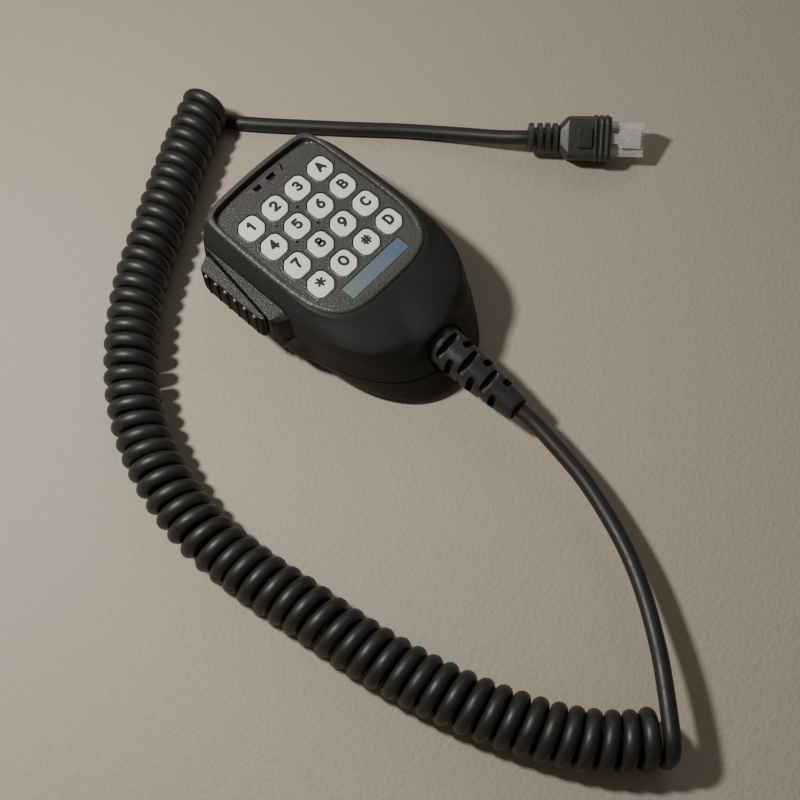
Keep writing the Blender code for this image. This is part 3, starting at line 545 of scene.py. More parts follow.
# Outlines of the keypad plate: (half width, top end, bottom end)
RIM = (23.6, 29.85, -29.8)
RIM_INSIDE = (22.5, 28.5, -28.7)
PLATE_EDGE = (21.8, 26.3, -28.1)
RIM_ROUNDNESS = (13.0, 3.6)
RIM_TOP = 30.2
PLATE_TOP = 29.4
PLATE_BOTTOM = 27.2
# How much the upper end narrows, and how much its edge is bowed, by the square of the distance
BARREL = 0.00004
BOW = 0.0022
GLAND_HEIGHT = 15.0
GLAND_FACE = -49.6
GLAND_HOLE_RADIUS = 7.25
BACK_HEIGHT = 6.5
BACK_WALL = 2.2
CASE_SCREWS = ((-22.6, 19.0), (22.6, 19.0), (-21.5, -29.0), (21.5, -29.0))
CASE_SHARP = 38
OUTLINE_POINTS = 220


def outline_point(angle, size, middle, roundness):
    """A point of a rounded outline: roundness is that of its upper and of its lower half."""
    half_width, top, bottom = size
    cosine, sine = math.cos(angle), math.sin(angle)
    reach = top - middle if sine >= 0 else middle - bottom
    power = 2 / (roundness[0] if sine >= 0 else roundness[1])
    x = half_width * math.copysign(abs(cosine) ** power, cosine)
    y = middle + reach * math.copysign(abs(sine) ** power, sine)
    return x, y


def bowed(x, y):
    """The upper end of the case narrows a little and its edge is bowed."""
    if y <= 0:
        return x, y
    return x * (1 - BARREL * y * y), y - BOW * x * x * smooth_step(y, 5.0, 26.0)


def even_angles(count):
    """Angles whose points are evenly spaced round a middling outline of the case."""
    fine = [2 * math.pi * i / 40000 for i in range(40001)]
    points = [outline_point(a, (25.0, 27.0, -45.0), BODY_MIDDLE, (9.0, 3.0)) for a in fine]
    lengths = [0.0]
    for (x0, y0), (x1, y1) in zip(points, points[1:]):
        lengths.append(lengths[-1] + math.hypot(x1 - x0, y1 - y0))
    made, k = [], 0
    for i in range(count):
        while lengths[k + 1] < lengths[-1] * i / count:
            k += 1
        made.append(fine[k])
    return made


ANGLES = even_angles(OUTLINE_POINTS)


def case_outline(half_width, top, bottom, roundness):
    size, both = (half_width, top, bottom), (BODY_TOP_ROUNDNESS, roundness)
    return [bowed(*outline_point(a, size, BODY_MIDDLE, both)) for a in ANGLES]


def rim_outline(size, spread=0.0):
    half_width, top, bottom = size
    grown = (half_width + spread, top + spread, bottom - spread)
    return [bowed(*outline_point(a, grown, 0.0, RIM_ROUNDNESS)) for a in ANGLES]


def side_bulge(x, y, z):
    """How far the talk-bar side stands out under the bar's lower end."""
    rise = smooth_step(z, 3.0, 6.0) * (1 - smooth_step(z, 14.0, 17.0))
    along = smooth_step(y, -25.0, -17.0) * (1 - smooth_step(y, -9.0, -4.0))
    return 1.9 * rise * along * smooth_step(-x, 22.0, 28.0)


def gland_swell(x, y, z):
    """The case drawn out into a collar round the gland."""
    distance = math.hypot(x, z - GLAND_HEIGHT)
    return max(0.0, y - GLAND_FACE) * (1 - smooth_step(distance, 9.4, 13.6)) if y < -30 else 0.0


def case_ring(level):
    height, *shape = level
    return [
        (x - side_bulge(x, y, height), y - gland_swell(x, y, height), height) for x, y in case_outline(*shape)
    ]


FRAME_INNER_X = -27.9
FRAME_TIP = -10.2
# (height, how far the surround's lower end reaches along the case there); it slopes down into the case
FRAME_REACH = (
    (12.1, -18.8), (17.0, -17.0), (20.0, -15.6), (22.0, -14.4),
    (23.4, -13.3), (24.3, -12.2), (24.8, -11.2), (25.0, -10.5),
)
# (height, half width, top end, bottom end, roundness of the bottom end)
FRONT_LEVELS = (
    (PARTING, 29.9, 29.75, -54.7, 2.4),
    (12.3, 30.2, 30.0, -55.0, 2.4),
    (17.0, 29.6, 30.2, -52.0, 2.5),
    (20.0, 29.15, 30.35, -50.1, 2.7),
    (22.6, 28.7, 30.5, -48.0, 2.85),
    (24.2, 28.2, 30.6, -46.5, 3.0),
    (25.2, 27.5, 30.65, -44.7, 3.0),
    (26.4, 26.6, 30.65, -41.4, 3.0),
    (27.6, 25.6, 30.6, -37.4, 3.0),
    (28.5, 24.8, 30.5, -33.9, 3.2),
    (29.1, 24.3, 30.4, -31.4, 3.5),
)


def make_front_case():
    outer = [case_ring(tuple(row)) for row in [FRONT_LEVELS[0], *through(FRONT_LEVELS[1:], 46)]]
    seat = [(x, y, 29.36) for x, y in rim_outline(RIM, 0.42)]
    seat_edge = [(x, y, 29.3) for x, y in rim_outline(RIM, 0.3)]
    seat_floor = [(x, y, PLATE_BOTTOM - GAP) for x, y in rim_outline(RIM, 0.3)]
    opening = [(x, y, PLATE_BOTTOM - GAP) for x, y in rim_outline(RIM, -2.0)]
    opening_low = [(x, y, 25.8) for x, y in rim_outline(RIM, -2.2)]
    cavity = [
        [(x, y, z) for x, y in case_outline(*level)]
        for z, *level in (
            (25.7, 22.4, 24.8, -35.5, 3.1),
            (24.0, 25.0, 25.2, -41.0, 3.0),
            (20.0, 25.6, 25.4, -43.8, 2.8),
            (PARTING, 25.8, 25.4, -45.0, 2.6),
        )
    ]
    bm = loft([*outer, seat, seat_edge, seat_floor, opening, opening_low, *cavity], around=True)
    case = mesh_piece("front_shell", bm, CASE, sharp=CASE_SHARP)

    cut_gland(case)
    cut_talk_recess(case)
    return case


def cut_gland(case):
    """The round hole that the strain relief is held in."""
    bm = bmesh.new()
    add_cylinder(bm, GLAND_HOLE_RADIUS, (0, -36.0, GLAND_HEIGHT), (0, -64.0, GLAND_HEIGHT), 96)
    combine(case, bm, "DIFFERENCE", CASE_SHARP)


def frame_end(reach):
    """The outline of the surround's wrapped end, from the case wall out to the bar."""
    span = reach - FRAME_TIP
    return (
        (FRAME_INNER_X, reach), (-29.9, FRAME_TIP + 0.72 * span), (-31.9, FRAME_TIP + 0.36 * span),
        (-33.1, FRAME_TIP),
    )


def cut_talk_recess(case):
    """Room at the side for the talk bar and its surround."""
    rings = []
    inner, outside = FRAME_INNER_X + GAP, -45.0
    for z, reach in ((11.65, FRAME_REACH[0][1]), *FRAME_REACH[1:], (31.0, FRAME_REACH[-1][1])):
        end = frame_end(reach)
        outline = [(outside, 24.0), (inner, 24.0), (inner, reach - 0.35)]
        outline += [(x - 0.2, y - 0.3) for x, y in end[1:]] + [(outside, FRAME_TIP - 1.2)]
        rings.append([(x, y, z) for x, y in outline])
    combine(case, loft(rings), "DIFFERENCE", CASE_SHARP)


# (half width, top end, bottom end, roundness of the bottom end) from the back up to the parting line
REAR_LEVELS = (
    (26.6, 26.8, -57.8, 2.4), (28.3, 28.6, -59.1, 2.4), (29.6, 29.6, -57.3, 2.4), (30.2, 30.0, -55.2, 2.4),
)


def back_height(y):
    """Height of the case's back: flat behind the keypad, then sloping down to the heel."""
    return BACK_HEIGHT * (1 - smooth_step(y, -16.0, -46.0)) if y < -16 else BACK_HEIGHT


def make_rear_case():
    """A tray with its back at back_height(), and a boss for each case screw."""
    levels = through(REAR_LEVELS, 28)
    rings = []
    for shrink in (0.02, 0.35, 0.7, 0.93, 0.985):
        ring = []
        for x, y in case_outline(*REAR_LEVELS[0]):
            x, y = x * shrink, BODY_MIDDLE + (y - BODY_MIDDLE) * shrink
            ring.append((x, y, back_height(y)))
        rings.append(ring)
    for i, level in enumerate(levels):
        part = i / (len(levels) - 1)
        ring = []
        for x, y in case_outline(*level):
            low = back_height(y) + 0.25
            z = low + (PARTING - 0.55 - low) * part ** 1.35
            ring.append((x - side_bulge(x, y, z), y, z))
        rings.append(ring)
    top = case_outline(29.95, 29.75, -54.95, 2.4)
    edge = [(x - side_bulge(x, y, 11.6), y, PARTING - GAP) for x, y in top]
    inner = [
        [(x, y, PARTING - GAP) for x, y in case_outline(25.8, 25.4, -45.0, 2.4)],
        [(x, y, back_height(y) + BACK_WALL) for x, y in case_outline(24.0, 24.2, -43.6, 2.4)],
    ]
    for shrink in (0.6, 0.02):
        drawn_in = [(x * shrink, BODY_MIDDLE + (y - BODY_MIDDLE) * shrink) for x, y, _ in inner[1]]
        inner.append([(x, y, back_height(y) + BACK_WALL) for x, y in drawn_in])
    case = mesh_piece("rear_shell", loft([*rings, edge, *inner]), CASE, sharp=CASE_SHARP)

    cut_gland(case)
    bm = bmesh.new()
    for x, y in CASE_SCREWS:
        add_cylinder(bm, 4.0, (x, y, back_height(y) + 1.0), (x, y, PARTING - GAP - 0.06), 48)
    combine(case, bm, "UNION", CASE_SHARP)
    for radius, low, high, sides in ((3.0, -2.0, 9.2, 48), (1.6, 8.0, PARTING + 2, 32)):
        bm = bmesh.new()
        for x, y in CASE_SCREWS:
            add_cylinder(bm, radius, (x, y, low), (x, y, high), sides)
        combine(case, bm, "DIFFERENCE", CASE_SHARP)
    cut_talk_recess(case)
    return case


front_shell = make_front_case()
rear_shell = make_rear_case()


# ---------------- keypad

KEY_PITCH = (10.15, 9.84)
KEY_WIDTH = 8.05
KEY_CHAMFERS = (1.35, 2.25)
KEY_TOP = 29.5
KEY_NAMES = (
    ("key_1", "key_2", "key_3", "key_a"),
    ("key_4", "key_5", "key_6", "key_b"),
    ("key_7", "key_8", "key_9", "key_c"),
    ("key_star", "key_0", "key_hash", "key_d"),
)
LEGENDS = ("123A", "456B", "789C", "*O#D")
# Label: (x, y, length, width). Window in the plate's upper edge: (left, right, low, high).
LABEL_BOX = (0.25, -23.0, 24.9, 5.0)
LABEL_FLOOR = 28.9
WINDOW = (-5.9, 7.1, 22.9, 26.1)
LENS_SLOTS = ((-4.8, -1.7), (1.0, 4.5))
SOUND_HOLES = ((-9.3, 9.7), (0.0, 9.9), (-9.3, 0.9), (0.1, 1.0))


def key_centre(row, column):
    return (column - 1.5) * KEY_PITCH[0], (1.5 - row) * KEY_PITCH[1]


KEY_CENTRES = [key_centre(row, column) for row in range(4) for column in range(4)]


def key_outline(centre, spread=0.0):
    """Two opposite corners of a key are cut more than the other two."""
    half = KEY_WIDTH / 2 + spread
    small, large = (cut + 0.6 * spread for cut in KEY_CHAMFERS)
    corners = (
        (half, half - small), (half - small, half), (-half + large, half), (-half, half - large),
        (-half, -half + small), (-half + small, -half), (half - large, -half), (half, -half + large),
    )
    outline = [(centre[0] + x, centre[1] + y * 0.985) for x, y in corners]
    return rounded(outline, 0.75, 4)


def label_outline(spread=0.0):
    x, y, length, width = LABEL_BOX
    reach_x, reach_y = length / 2 + spread, width / 2 + spread
    return box_outline(x - reach_x, x + reach_x, y - reach_y, y + reach_y)


def trough_height(y):
    """Height of the channel between the plate and the rim, deepest along the upper end."""
    return PLATE_TOP - 0.12 - 0.5 * smooth_step(y, -22.0, -8.0) - 0.9 * smooth_step(y, 24.6, 26.2)


def make_bezel():
    """The plate with its rim and the openings for keys, sound, label and lens."""
    crest = (
        (0.0, PLATE_BOTTOM), (0.0, 29.36), (0.42, 29.4), (0.4, 29.52), (0.28, 29.76), (0.02, 29.98),
        (-0.3, 30.14), (-0.65, RIM_TOP),
    )
    rings = [[(x, y, z) for x, y in rim_outline(RIM, spread)] for spread, z in crest]
    inner = ((0.12, RIM_TOP - 0.02), (-0.05, RIM_TOP - 0.14), (-0.15, RIM_TOP - 0.35))
    rings += [[(x, y, z) for x, y in rim_outline(RIM_INSIDE, spread)] for spread, z in inner]
    wall, edge = rim_outline(RIM_INSIDE, -0.3), rim_outline(PLATE_EDGE)
    rings.append([(x, y, trough_height(y)) for x, y in wall])
    rings.append([
        ((x + px) / 2, (y + py) / 2, trough_height(y) - 0.03) for (x, y), (px, py) in zip(wall, edge)
    ])
    rings.append([(x, y, trough_height(y)) for x, y in edge])
    rings.append([(x, y, max(trough_height(y), PLATE_TOP - 0.12)) for x, y in edge])
    rings.append([(x, y, PLATE_TOP) for x, y in rim_outline(PLATE_EDGE, -0.12)])
    bezel = mesh_piece("keypad_plate", loft(rings), BEZEL, sharp=40)

    bm = bmesh.new()
    lip = ((0.85, -0.5), (0.85, 0.0), (0.72, 0.14), (0.45, 0.17))
    for centre in KEY_CENTRES:
        add_loft(bm, [[(x, y, PLATE_TOP + z) for x, y in key_outline(centre, grow)] for grow, z in lip])
    combine(bezel, bm, "UNION", 40)

    bm = bmesh.new()
    for centre in KEY_CENTRES:
        add_prism(bm, key_outline(centre, 0.32), 26.0, 31.0)
    for x, y in SOUND_HOLES:
        add_cylinder(bm, 0.42, (x, y, 26.0), (x, y, 30.5), 20)
    combine(bezel, bm, "DIFFERENCE", 40)

    bm = bmesh.new()
    add_prism(bm, label_outline(0.2), LABEL_FLOOR, 30.5)
    combine(bezel, bm, "DIFFERENCE", 40)

    left, right, low, high = WINDOW
    bm = bmesh.new()
    outline = ((left, low), (right, low), (right + 1.7, high + 0.6), (left - 2.6, high + 0.6))
    add_prism(bm, rounded(outline, 0.5, 3), 26.5, 29.9)
    combine(bezel, bm, "DIFFERENCE", 40)
    bevel(bezel, 0.08, 2, 50, 40)
    return bezel


def make_key(name, x, y):
    """A cap that a flange under the plate keeps in."""
    shape = (
        (0.42, 25.6), (0.42, 26.8), (0.0, 26.8), (0.0, KEY_TOP - 0.3), (-0.05, KEY_TOP - 0.13),
        (-0.15, KEY_TOP - 0.04), (-0.32, KEY_TOP),
    )
    rings = [[(px, py, z) for px, py in key_outline((x, y), grow)] for grow, z in shape]
    edge = rings[-1]
    for shrink in (0.5, 0.02):
        rings.append([(x + (px - x) * shrink, y + (py - y) * shrink, KEY_TOP + 0.02) for px, py, _ in edge])
    return mesh_piece(f"{name}_cap", loft(rings), KEY, sharp=50)


LEGEND_STROKE = 0.95
LEGEND_HEIGHT = 3.0
LEGEND_OFFSET = (0.42, 0.55)


def arc(x, y, reach_x, reach_y, start, end, steps=14):
    angles = [math.radians(start + (end - start) * k / steps) for k in range(steps + 1)]
    return [(x + reach_x * math.cos(a), y + reach_y * math.sin(a)) for a in angles]


# Each legend is a few strokes in a box one unit high.
SIX = [arc(0, -0.17, 0.31, 0.33, 0, 360, 24), [(0.2, 0.5), (-0.02, 0.36), (-0.2, 0.14), (-0.3, -0.12)]]
STROKES = {
    "1": [[(-0.24, 0.24), (0.04, 0.5)], [(0.04, 0.5), (0.04, -0.5)]],
    "2": [arc(0, 0.2, 0.31, 0.3, 165, -38) + [(-0.32, -0.5)], [(-0.32, -0.5), (0.34, -0.5)]],
    "3": [arc(-0.02, 0.26, 0.27, 0.24, 150, -90), arc(-0.02, -0.24, 0.32, 0.26, 90, -155)],
    "4": [[(0.36, -0.22), (-0.36, -0.22)], [(-0.36, -0.22), (0.14, 0.5)], [(0.14, 0.5), (0.14, -0.5)]],
    "5": [
        [(0.28, 0.5), (-0.22, 0.5)], [(-0.22, 0.5), (-0.27, 0.05)], arc(-0.01, -0.17, 0.32, 0.33, 140, -150),
    ],
    "6": SIX,
    "7": [[(-0.32, 0.5), (0.32, 0.5)], [(0.32, 0.5), (0.1, 0.14), (-0.02, -0.18), (-0.07, -0.5)]],
    "8": [arc(0, 0.26, 0.26, 0.24, 0, 360, 24), arc(0, -0.24, 0.32, 0.26, 0, 360, 24)],
    "9": [[(-x, -y) for x, y in stroke] for stroke in SIX],
    "O": [arc(0, 0, 0.40, 0.5, 0, 360, 30)],
    "A": [[(-0.4, -0.5), (0, 0.5)], [(0, 0.5), (0.4, -0.5)], [(-0.26, -0.17), (0.26, -0.17)]],
    "B": [
        [(-0.3, -0.5), (-0.3, 0.5)],
        [(-0.3, 0.5), *arc(0.0, 0.26, 0.26, 0.24, 90, -90), (-0.3, 0.02)],
        [(-0.3, 0.02), *arc(0.02, -0.24, 0.31, 0.26, 90, -90), (-0.3, -0.5)],
    ],
    "C": [arc(0.05, 0, 0.40, 0.5, 52, 308, 24)],
    "D": [
        [(-0.33, -0.5), (-0.33, 0.5)],
        [(-0.33, 0.5), *arc(-0.05, 0, 0.42, 0.5, 90, -90, 20), (-0.33, -0.5)],
    ],
    "*": [[(0, -0.46), (0, 0.46)], [(-0.4, -0.23), (0.4, 0.23)], [(-0.4, 0.23), (0.4, -0.23)]],
    "#": [
        [(-0.42, 0.16), (0.42, 0.16)], [(-0.42, -0.16), (0.42, -0.16)],
        [(-0.22, -0.45), (-0.12, 0.45)], [(0.12, -0.45), (0.22, 0.45)],
    ],
}


def make_legend(name, letter, x, y):
    """The strokes as flat bands, each with round ends."""
    bm = bmesh.new()
    middle = Vector((x, y)) + Vector(LEGEND_OFFSET)
    low, high = KEY_TOP - 0.05, KEY_TOP + 0.045
    width = LEGEND_STROKE * (0.85 if letter in "#*" else 1.0)
    joints = set()
    for stroke in STROKES[letter]:
        points = [middle + LEGEND_HEIGHT * Vector(point) for point in stroke]
        closed = (points[0] - points[-1]).length < 1e-6
        if closed:
            points.pop()
        rings = []
        for i, point in enumerate(points):
            before = points[i - 1] if closed or i else point
            after = points[(i + 1) % len(points)] if closed or i + 1 < len(points) else point
            heading = (after - before).normalized()
            side = Vector((-heading.y, heading.x)) * width / 2
            left, right = point + side, point - side
            rings.append([(*left, low), (*right, low), (*right, high), (*left, high)])
        add_loft(bm, rings, around=closed)
        if not closed:
            joints |= {tuple(points[0]), tuple(points[-1])}
    obj = mesh_piece(f"{name}_legend", bm, INK, sharp=30)
    if joints:
        bm = bmesh.new()
        for px, py in sorted(joints):
            add_cylinder(bm, width / 2 - 0.002, (px, py, low + 0.002), (px, py, high - 0.002), 20)
        combine(obj, bm, "UNION", 30, overlapping=True)
    return obj


bezel = make_bezel()
keys = {}
legends = {}
for row, names in enumerate(KEY_NAMES):
    for column, name in enumerate(names):
        centre = key_centre(row, column)
        keys[name] = make_key(name, *centre)
        legends[name] = make_legend(name, LEGENDS[row][column], *centre)


def make_label():
    bm = bmesh.new()
    add_prism(bm, label_outline(), LABEL_FLOOR, 29.22)
    label = mesh_piece("label_film", bm, LABEL)
    bevel(label, 0.08, 2)
    return label


def make_lens():
    left, right, low, high = WINDOW
    bm = bmesh.new()
    outline = ((left + 0.3, low + 0.3), (right - 0.3, low + 0.3), (right + 0.9, high), (left - 1.5, high))
    add_prism(bm, outline, PLATE_BOTTOM, 28.8)
    # The strip's colour includes painted shade for its recess.
    lens = mesh_piece("lens_strip", bm, LENS_WITH_PAINTED_SHADE)
    bevel(lens, 0.12, 2)
    # Each window's cut faces take the near-black painted shade.
    for start, end in LENS_SLOTS:
        bm = bmesh.new()
        outline = ((start + 0.4, low + 0.5), (end - 0.3, low + 0.5), (end, high - 0.7), (start, high - 0.7))
        add_prism(bm, outline, 27.45, 29.5)
        combine(lens, bm, "DIFFERENCE", look_=PAINTED_WELL_SHADE)
    return lens


label = make_label()
lens = make_lens()


# ---------------- talk bar

PIVOT = (-31.3, -6.4)
BAR_OUTLINE = ((-29.3, 20.4), (-29.9, 21.0), (-34.0, 19.2), (-34.5, 18.2), (-34.5, -7.4), (-33.3, -8.9))
RIB_PITCH = 4.2
FIRST_RIB = -5.0
# Up-facing faces above this height get the lighter grained material and the rest the darker satin: partly the
# real grained top, partly painted shade on faces turned from the light.
LIT_AND_GRAINED_ABOVE = 23.6 * MM


def scaled_outline(outline, amount):
    """The outline drawn in by amount on each side."""
    middle = sum((Vector(p) for p in outline), Vector((0, 0))) / len(outline)
    made = []
    for p in outline:
        offset = Vector(p) - middle
        length = offset.length
        made.append(tuple(middle + offset * max(length - amount * 1.25, 0.05) / length))
    return made


def bore_pivot(obj, low, high):
    bm = bmesh.new()
    add_cylinder(bm, 1.15, (*PIVOT, low), (*PIVOT, high), 32)
    combine(obj, bm, "DIFFERENCE", 36)


def make_talk_bar():
    outline = rounded(BAR_OUTLINE, 0.7, 4)
    levels = (
        (12.4, 1.4), (12.6, 1.0), (13.2, 0.5), (14.2, 0.15), (15.4, 0.0),
        (23.8, 0.0), (24.2, 0.1), (24.42, 0.28), (24.5, 0.5),
    )
    bm = loft([[(x, y, z) for x, y in scaled_outline(outline, inset)] for z, inset in levels])
    bar = mesh_piece("talk_bar_grip", bm, GRIP, GLOSS, CASE, sharp=36)
    # the lug round the pivot and the arm that reaches in to the switch
    lug, arm = ((-33.6, -8.3, 16.8), (-30.1, -4.6, 22.0)), ((-31.0, 10.5, 17.4), (-26.2, 13.5, 20.4))
    combine(bar, boxes(lug, arm), "UNION", 36)
    bore_pivot(bar, 15.0, 23.5)
    bm = bmesh.new()
    for i in range(6):
        y = FIRST_RIB + i * RIB_PITCH
        add_cylinder(bm, 0.8, (-33.9, y, 13.4), (-34.25, y, 23.0), 24)
        bmesh.ops.create_uvsphere(
            bm, u_segments=20, v_segments=12, radius=0.83, matrix=Matrix.Translation((-34.4, y, 23.2))
        )
    ribs = mesh_piece("talk_bar_ribs", bm, GLOSS, RIB_TIP_PAINTED_GLINT, sharp=60)
    # Lighter grain up top and darker satin below and at the ends: partly real grain, partly painted shade.
    for face in bar.data.polygons:
        if face.normal.z > 0.5 and face.center.z > LIT_AND_GRAINED_ABOVE:
            face.material_index = 0
        else:
            face.material_index = 1 if face.normal.x < -0.75 and face.center.x < -33.5 * MM else 2
    # The rib ends get the painted glint material; the rib bodies stay black.
    for face in ribs.data.polygons:
        face.material_index = 1 if face.center.z > 23.5 * MM else 0
    return bar, ribs


def make_talk_frame():
    rings = []
    for z, reach in FRAME_REACH:
        trim = 0.3 * smooth_step(z, 23.8, 25.0)
        side = ((-28.35, 23.5), (-28.5, 20.6), (-32.9, -9.3))
        outer = [(FRAME_INNER_X, 23.6), *((x + trim / 2, y) for x, y in side), *reversed(frame_end(reach))]
        rings.append([(x, y, z) for x, y in rounded(outer, 0.45, 3)])
    surround = mesh_piece("talk_bar_surround", loft(rings), GRIP, CASE, sharp=36)
    lug_room, arm_room = ((-36, -8.9, 16.2), (-29.3, -3.9, 22.6)), ((-36, 9.6, 16.9), (-25, 14.4, 20.9))
    combine(surround, boxes(lug_room, arm_room), "DIFFERENCE", 36)
    bore_pivot(surround, 14.2, 24.3)
    bevel(surround, 0.35, 3, 50, 36)
    # Lighter grain on the up-facing faces and darker satin on the sides and end: the end's darkness is
    # painted shade.
    for face in surround.data.polygons:
        face.material_index = 0 if face.normal.z > 0.3 and face.center.z > LIT_AND_GRAINED_ABOVE else 1
    return surround


talk_bar, talk_ribs = make_talk_bar()
talk_surround = make_talk_frame()


# ---------------- strain relief

# (position along the cord, height of the centre line, radius); the last two are the mouth round the cord
BOOT_SECTIONS = (
    (-43.0, 15.0, 7.0), (-44.6, 15.0, 7.0), (-44.7, 15.0, 9.0), (-46.3, 15.0, 9.0), (-46.4, 15.0, 6.9),
    (-49.5, 14.97, 6.8), (-52.0, 14.85, 6.6), (-56.0, 14.55, 6.35), (-60.0, 14.2, 6.2),
    (-64.0, 13.8, 6.0), (-68.0, 13.35, 5.65), (-72.0, 12.95, 5.2), (-76.0, 12.5, 4.8),
    (-80.3, 12.05, 4.4), (-81.0, 11.97, 4.25), (-81.3, 11.93, 3.95), (-81.25, 11.93, 3.25),
    (-77.5, 12.35, 3.0),
)
BOOT_TWIST = 12
# (position along the cord, whether the slots there are turned by half a step)
BOOT_SLOTS = ((-53.7, 0), (-57.8, 1), (-61.9, 0), (-66.1, 1), (-70.2, 0), (-74.3, 1))


def boot_axis(y):
    """(height, radius) of the strain relief at y."""
    rows = BOOT_SECTIONS[5:15]
    for (y0, z0, r0), (y1, z1, r1) in zip(rows, rows[1:]):
        if y0 >= y >= y1:
            t = (y - y0) / (y1 - y0)
            return z0 + (z1 - z0) * t, r0 + (r1 - r0) * t
    return rows[0][1:]


def circle(radius, steps):
    angles = [2 * math.pi * i / steps for i in range(steps)]
    return [(radius * math.sin(a), radius * math.cos(a)) for a in angles]


def boot_slot(y, offset, turn):
    """A slot with round corners, cut from the outside towards the axis."""
    z, radius = boot_axis(y)
    half = (0.55 if offset else 0.72) * radius
    shape = bmesh.new()
    add_box(shape, (-half, y - 1.1, 0.56 * radius), (half, y + 1.1, 12.0))
    edges = [e for e in shape.edges if (e.verts[0].co - e.verts[1].co).xy.length < 1e-6]
    bmesh.ops.bevel(shape, geom=edges, offset=0.75, segments=5, affect="EDGES", profile=0.5)
    place = Matrix.Translation((0, 0, z)) @ Matrix.Rotation(math.radians(turn), 4, "Y")
    bmesh.ops.transform(shape, matrix=place, verts=shape.verts)
    slot = bpy.data.meshes.new("slot")
    shape.to_mesh(slot)
    shape.free()
    return slot


def make_boot():
    bm = loft([[(x, y, z + up) for x, up in circle(radius, 72)] for y, z, radius in BOOT_SECTIONS])
    boot = mesh_piece("strain_relief", bm, BOOT, sharp=36)
    bm = bmesh.new()
    for y, offset in BOOT_SLOTS:
        for step in range(3):
            bm.from_mesh(boot_slot(y, offset, 120 * step + 60 * offset - BOOT_TWIST))
    combine(boot, bm, "DIFFERENCE", 36)
    bevel(boot, 0.15, 2, 50, 40)
    return boot


boot = make_boot()


# ---------------- plug

PLUG_PLACE = (83.0, -17.0)
PLUG_TURN = math.radians(-49.7)
PLUG_ROLL = math.radians(35)
# Height of the plug's axis in its own frame, and above the surface as it lies
PLUG_AXIS_HEIGHT = 5.2
PLUG_AXIS_LIFT = 7.6
PLUG_MATRIX = (
    Matrix.Translation((*PLUG_PLACE, PLUG_AXIS_LIFT)) @ Matrix.Rotation(PLUG_TURN, 4, "Z")
    @ Matrix.Rotation(PLUG_ROLL, 4, "X") @ Matrix.Translation((0, 0, -PLUG_AXIS_HEIGHT))
)
# (start, nose, width, low, high) of the clear body
PLUG_BODY = (19.0, 39.5, 11.68, 1.5, 8.1)
PLUG_FINS = (22.85, 24.75, 26.65)
PLUG_RIBS = ((1.2, 4.95), (4.2, 5.0), (6.8, 5.05), (9.4, 5.1))
CONTACTS = 8
CONTACT_PITCH = 1.02
LATCH_HINGE = (37.6, 8.9)


def plug_ring(x, half_width, low, high, corner):
    outline = ((-half_width, low), (-half_width, high), (half_width, high), (half_width, low))
    return [(x, y, z) for y, z in rounded(outline, corner, 6)]


def placed(bm):
    bmesh.ops.transform(bm, matrix=PLUG_MATRIX, verts=bm.verts)
    return bm


def contact_places():
    return [(i - (CONTACTS - 1) / 2) * CONTACT_PITCH for i in range(CONTACTS)]


def make_plug_boot():
    """The cover with its fins, the ribbed sleeve and the tab over the latch."""
    # (position from the cord, half width, low, high, corner)
    rows = [
        (10.7, 4.1, 1.2, 9.3, 2.4),
        (11.0, 4.5, 1.0, 9.5, 2.3),
        (13.3, 7.05, 0.5, 10.5, 2.1),
        (13.8, 7.3, 0.4, 10.7, 2.0),
        (22.3, 7.4, 0.4, 11.3, 2.0),
    ]
    for x in PLUG_FINS:
        rows += [
            (x - 0.35, 7.5, 0.35, 11.5, 2.0),
            (x - 0.12, 8.0, 0.1, 12.1, 3.2),
            (x + 0.12, 8.0, 0.1, 12.1, 3.2),
            (x + 0.45, 7.45, 0.4, 11.5, 2.0),
            (x + 1.2, 7.4, 0.45, 11.45, 2.0),
        ]
    bm = loft([plug_ring(*row) for row in rows])
    piece = mesh_piece("plug_cover", placed(bm), PLUG_RUBBER, sharp=36)
    profile = [(0.0, 2.9)]
    for x, radius in PLUG_RIBS:
        profile += [
            (x - 0.95, 3.4), (x - 0.85, radius - 0.35), (x - 0.6, radius), (x + 0.6, radius),
            (x + 0.85, radius - 0.35), (x + 0.95, 3.4),
        ]
    profile.append((14.0, 3.4))
    bm = loft([[(x, y, PLUG_AXIS_HEIGHT + up) for y, up in circle(radius, 48)] for x, radius in profile])
    combine(piece, placed(bm), "UNION", 36)
    outline = rounded(box_outline(16.4, 21.6, -3.5, 3.5), 0.9)
    levels = ((9.0, 0.0), (11.7, 0.0), (12.1, 0.15), (12.35, 0.5))
    bm = loft([[(x, y, z) for x, y in scaled_outline(outline, inset)] for z, inset in levels])
    combine(piece, placed(bm), "UNION", 36)
    start, _, width, low, high = PLUG_BODY
    half = width / 2
    # the room for the clear body, with a higher part for the latch
    side, step, roof = half + GAP, high + GAP, 10.9
    section = ((-side, low - GAP), (side, low - GAP), (side, step), (3.9, step))
    section += ((3.9, roof), (-3.9, roof), (-3.9, step), (-side, step))
    bm = loft([[(x, y, z) for y, z in section] for x in (start - GAP, 35)])
    combine(piece, placed(bm), "DIFFERENCE", 36)
    return piece


def make_plug_body():
    start, nose, width, low, high = PLUG_BODY
    half = width / 2
    body = mesh_piece("plug_moulding", placed(boxes(((start, -half, low), (nose, half, high)))), CLEAR_WITH_PAINTED_HIGHLIGHT)
    slots = [
        ((nose - 4.6, y - 0.32, low - 1), (nose + 1, y + 0.32, low + 2.6)) for y in contact_places()
    ]
    combine(body, placed(boxes(*slots)), "DIFFERENCE")
    hollow = ((start - 1, -half + 1.0, low + 1.0), (start + 13.5, half - 1.0, high - 1.2))
    combine(body, placed(boxes(hollow)), "DIFFERENCE")
    bevel(body, 0.15, 2)
    return body


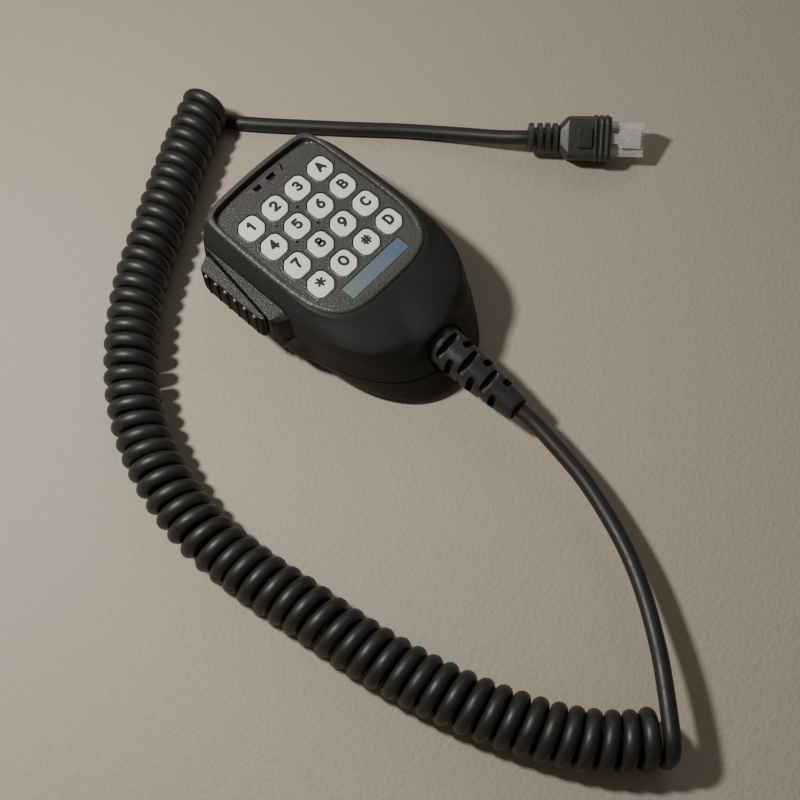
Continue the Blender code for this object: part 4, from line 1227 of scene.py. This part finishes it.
def make_contacts():
    _, nose, _, low, _ = PLUG_BODY
    outline = rounded(box_outline(nose - 4.2, nose - 0.6, low + 0.3, low + 2.3), 0.5, 3)
    made = []
    for i, y in enumerate(contact_places()):
        bm = loft([[(x, side, z) for x, z in outline] for side in (y - 0.14, y + 0.14)])
        made.append(mesh_piece(f"contact_blade_{i + 1}", placed(bm), GOLD))
    return made


def make_wires():
    """The cord's cores fanned out inside the clear plug."""
    start = PLUG_BODY[0]
    made = []
    for i, y in enumerate(contact_places()):
        route = ((-0.1, y * 0.55, 5.4), (3.0, y * 0.8, 5.9), (8.6, y, 6.1), (13.0, y, 5.6))
        path, _ = smooth_path([PLUG_MATRIX @ Vector((start + x, side, z)) for x, side, z in route], 1.0)
        made.append(tube(f"core_{i + 1}", path, 0.45, WIRES[i], 3))
    return made


def make_latch():
    hinge_x, hinge_z = LATCH_HINGE
    # (position from the hinge, half width, lower face, upper face)
    rows = (
        (0.6, 3.0, -0.5, 0.5),
        (-2.0, 3.0, -0.35, 0.7),
        (-6.4, 3.0, 0.1, 1.1),
        (-7.2, 1.7, 0.2, 1.2),
        (-12.0, 1.7, 0.5, 1.45),
        (-17.0, 1.7, 0.8, 1.7),
    )
    rings = []
    for x, half, low, high in rows:
        rings.append([(hinge_x + x, y, hinge_z + z) for y, z in box_outline(-half, half, low, high)])
    latch = mesh_piece("latch_tongue", placed(loft(rings)), CLEAR_WITH_PAINTED_HIGHLIGHT)
    bevel(latch, 0.15, 2)
    return latch


plug_cover = make_plug_boot()
plug_moulding = make_plug_body()
contacts = make_contacts()
wires = make_wires()
latch = make_latch()


# ---------------- what rides on what

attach(front_shell, "case")
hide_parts("front_case")
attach(rear_shell, "case")
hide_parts("rear_case")
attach(bezel, "case")
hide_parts("keypad_bezel")
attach(label, "case")
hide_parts("label_strip")
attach(lens, "case")
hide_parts("status_lens")
for name in keys:
    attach(keys[name], f"{name}_cap")
    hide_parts(name)
    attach(legends[name], f"{name}_cap")
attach(talk_bar, "talk_bar_swing")
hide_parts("talk_bar")
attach(talk_ribs, "talk_bar_swing")
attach(talk_surround, "case")
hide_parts("talk_frame")
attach(boot, "case")
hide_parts("cord_boot")
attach(cord, "case")
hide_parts("lead_cord", "coil_cord", "tail_cord")
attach(plug_cover, "case")
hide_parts("plug_boot")
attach(plug_moulding, "case")
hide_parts("plug_body")
for i, blade in enumerate(contacts):
    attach(blade, "case")
    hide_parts(f"plug_contact_{i + 1}")
for wire in wires:
    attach(wire, "case")
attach(latch, "latch_flex")
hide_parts("plug_latch")

SCREWS = [f"case_screw_{i}" for i in range(1, 5)] + ["board_screw_1", "board_screw_2"]
CAD_LOOKS = (
    (CASE, ["hang_button"]),
    (STEEL, ["hang_screw", "hang_washer", "talk_pivot_pin", "mic_capsule", "cord_clamp", *SCREWS]),
    (SILICONE, ["mic_grommet", "key_membrane"]),
    (BOARD, ["circuit_board"]),
    (CHIP, ["encoder_chip", "talk_switch"]),
    (KEY, ["cord_header", "switch_plunger"]),
    (LENS_WITH_PAINTED_SHADE, ["status_led"]),
    (CORD, ["inner_lead"]),
)
for look_, inside in CAD_LOOKS:
    for node in inside:
        for material_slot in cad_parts[node].material_slots:
            material_slot.material = look_

bpy.context.view_layer.update()
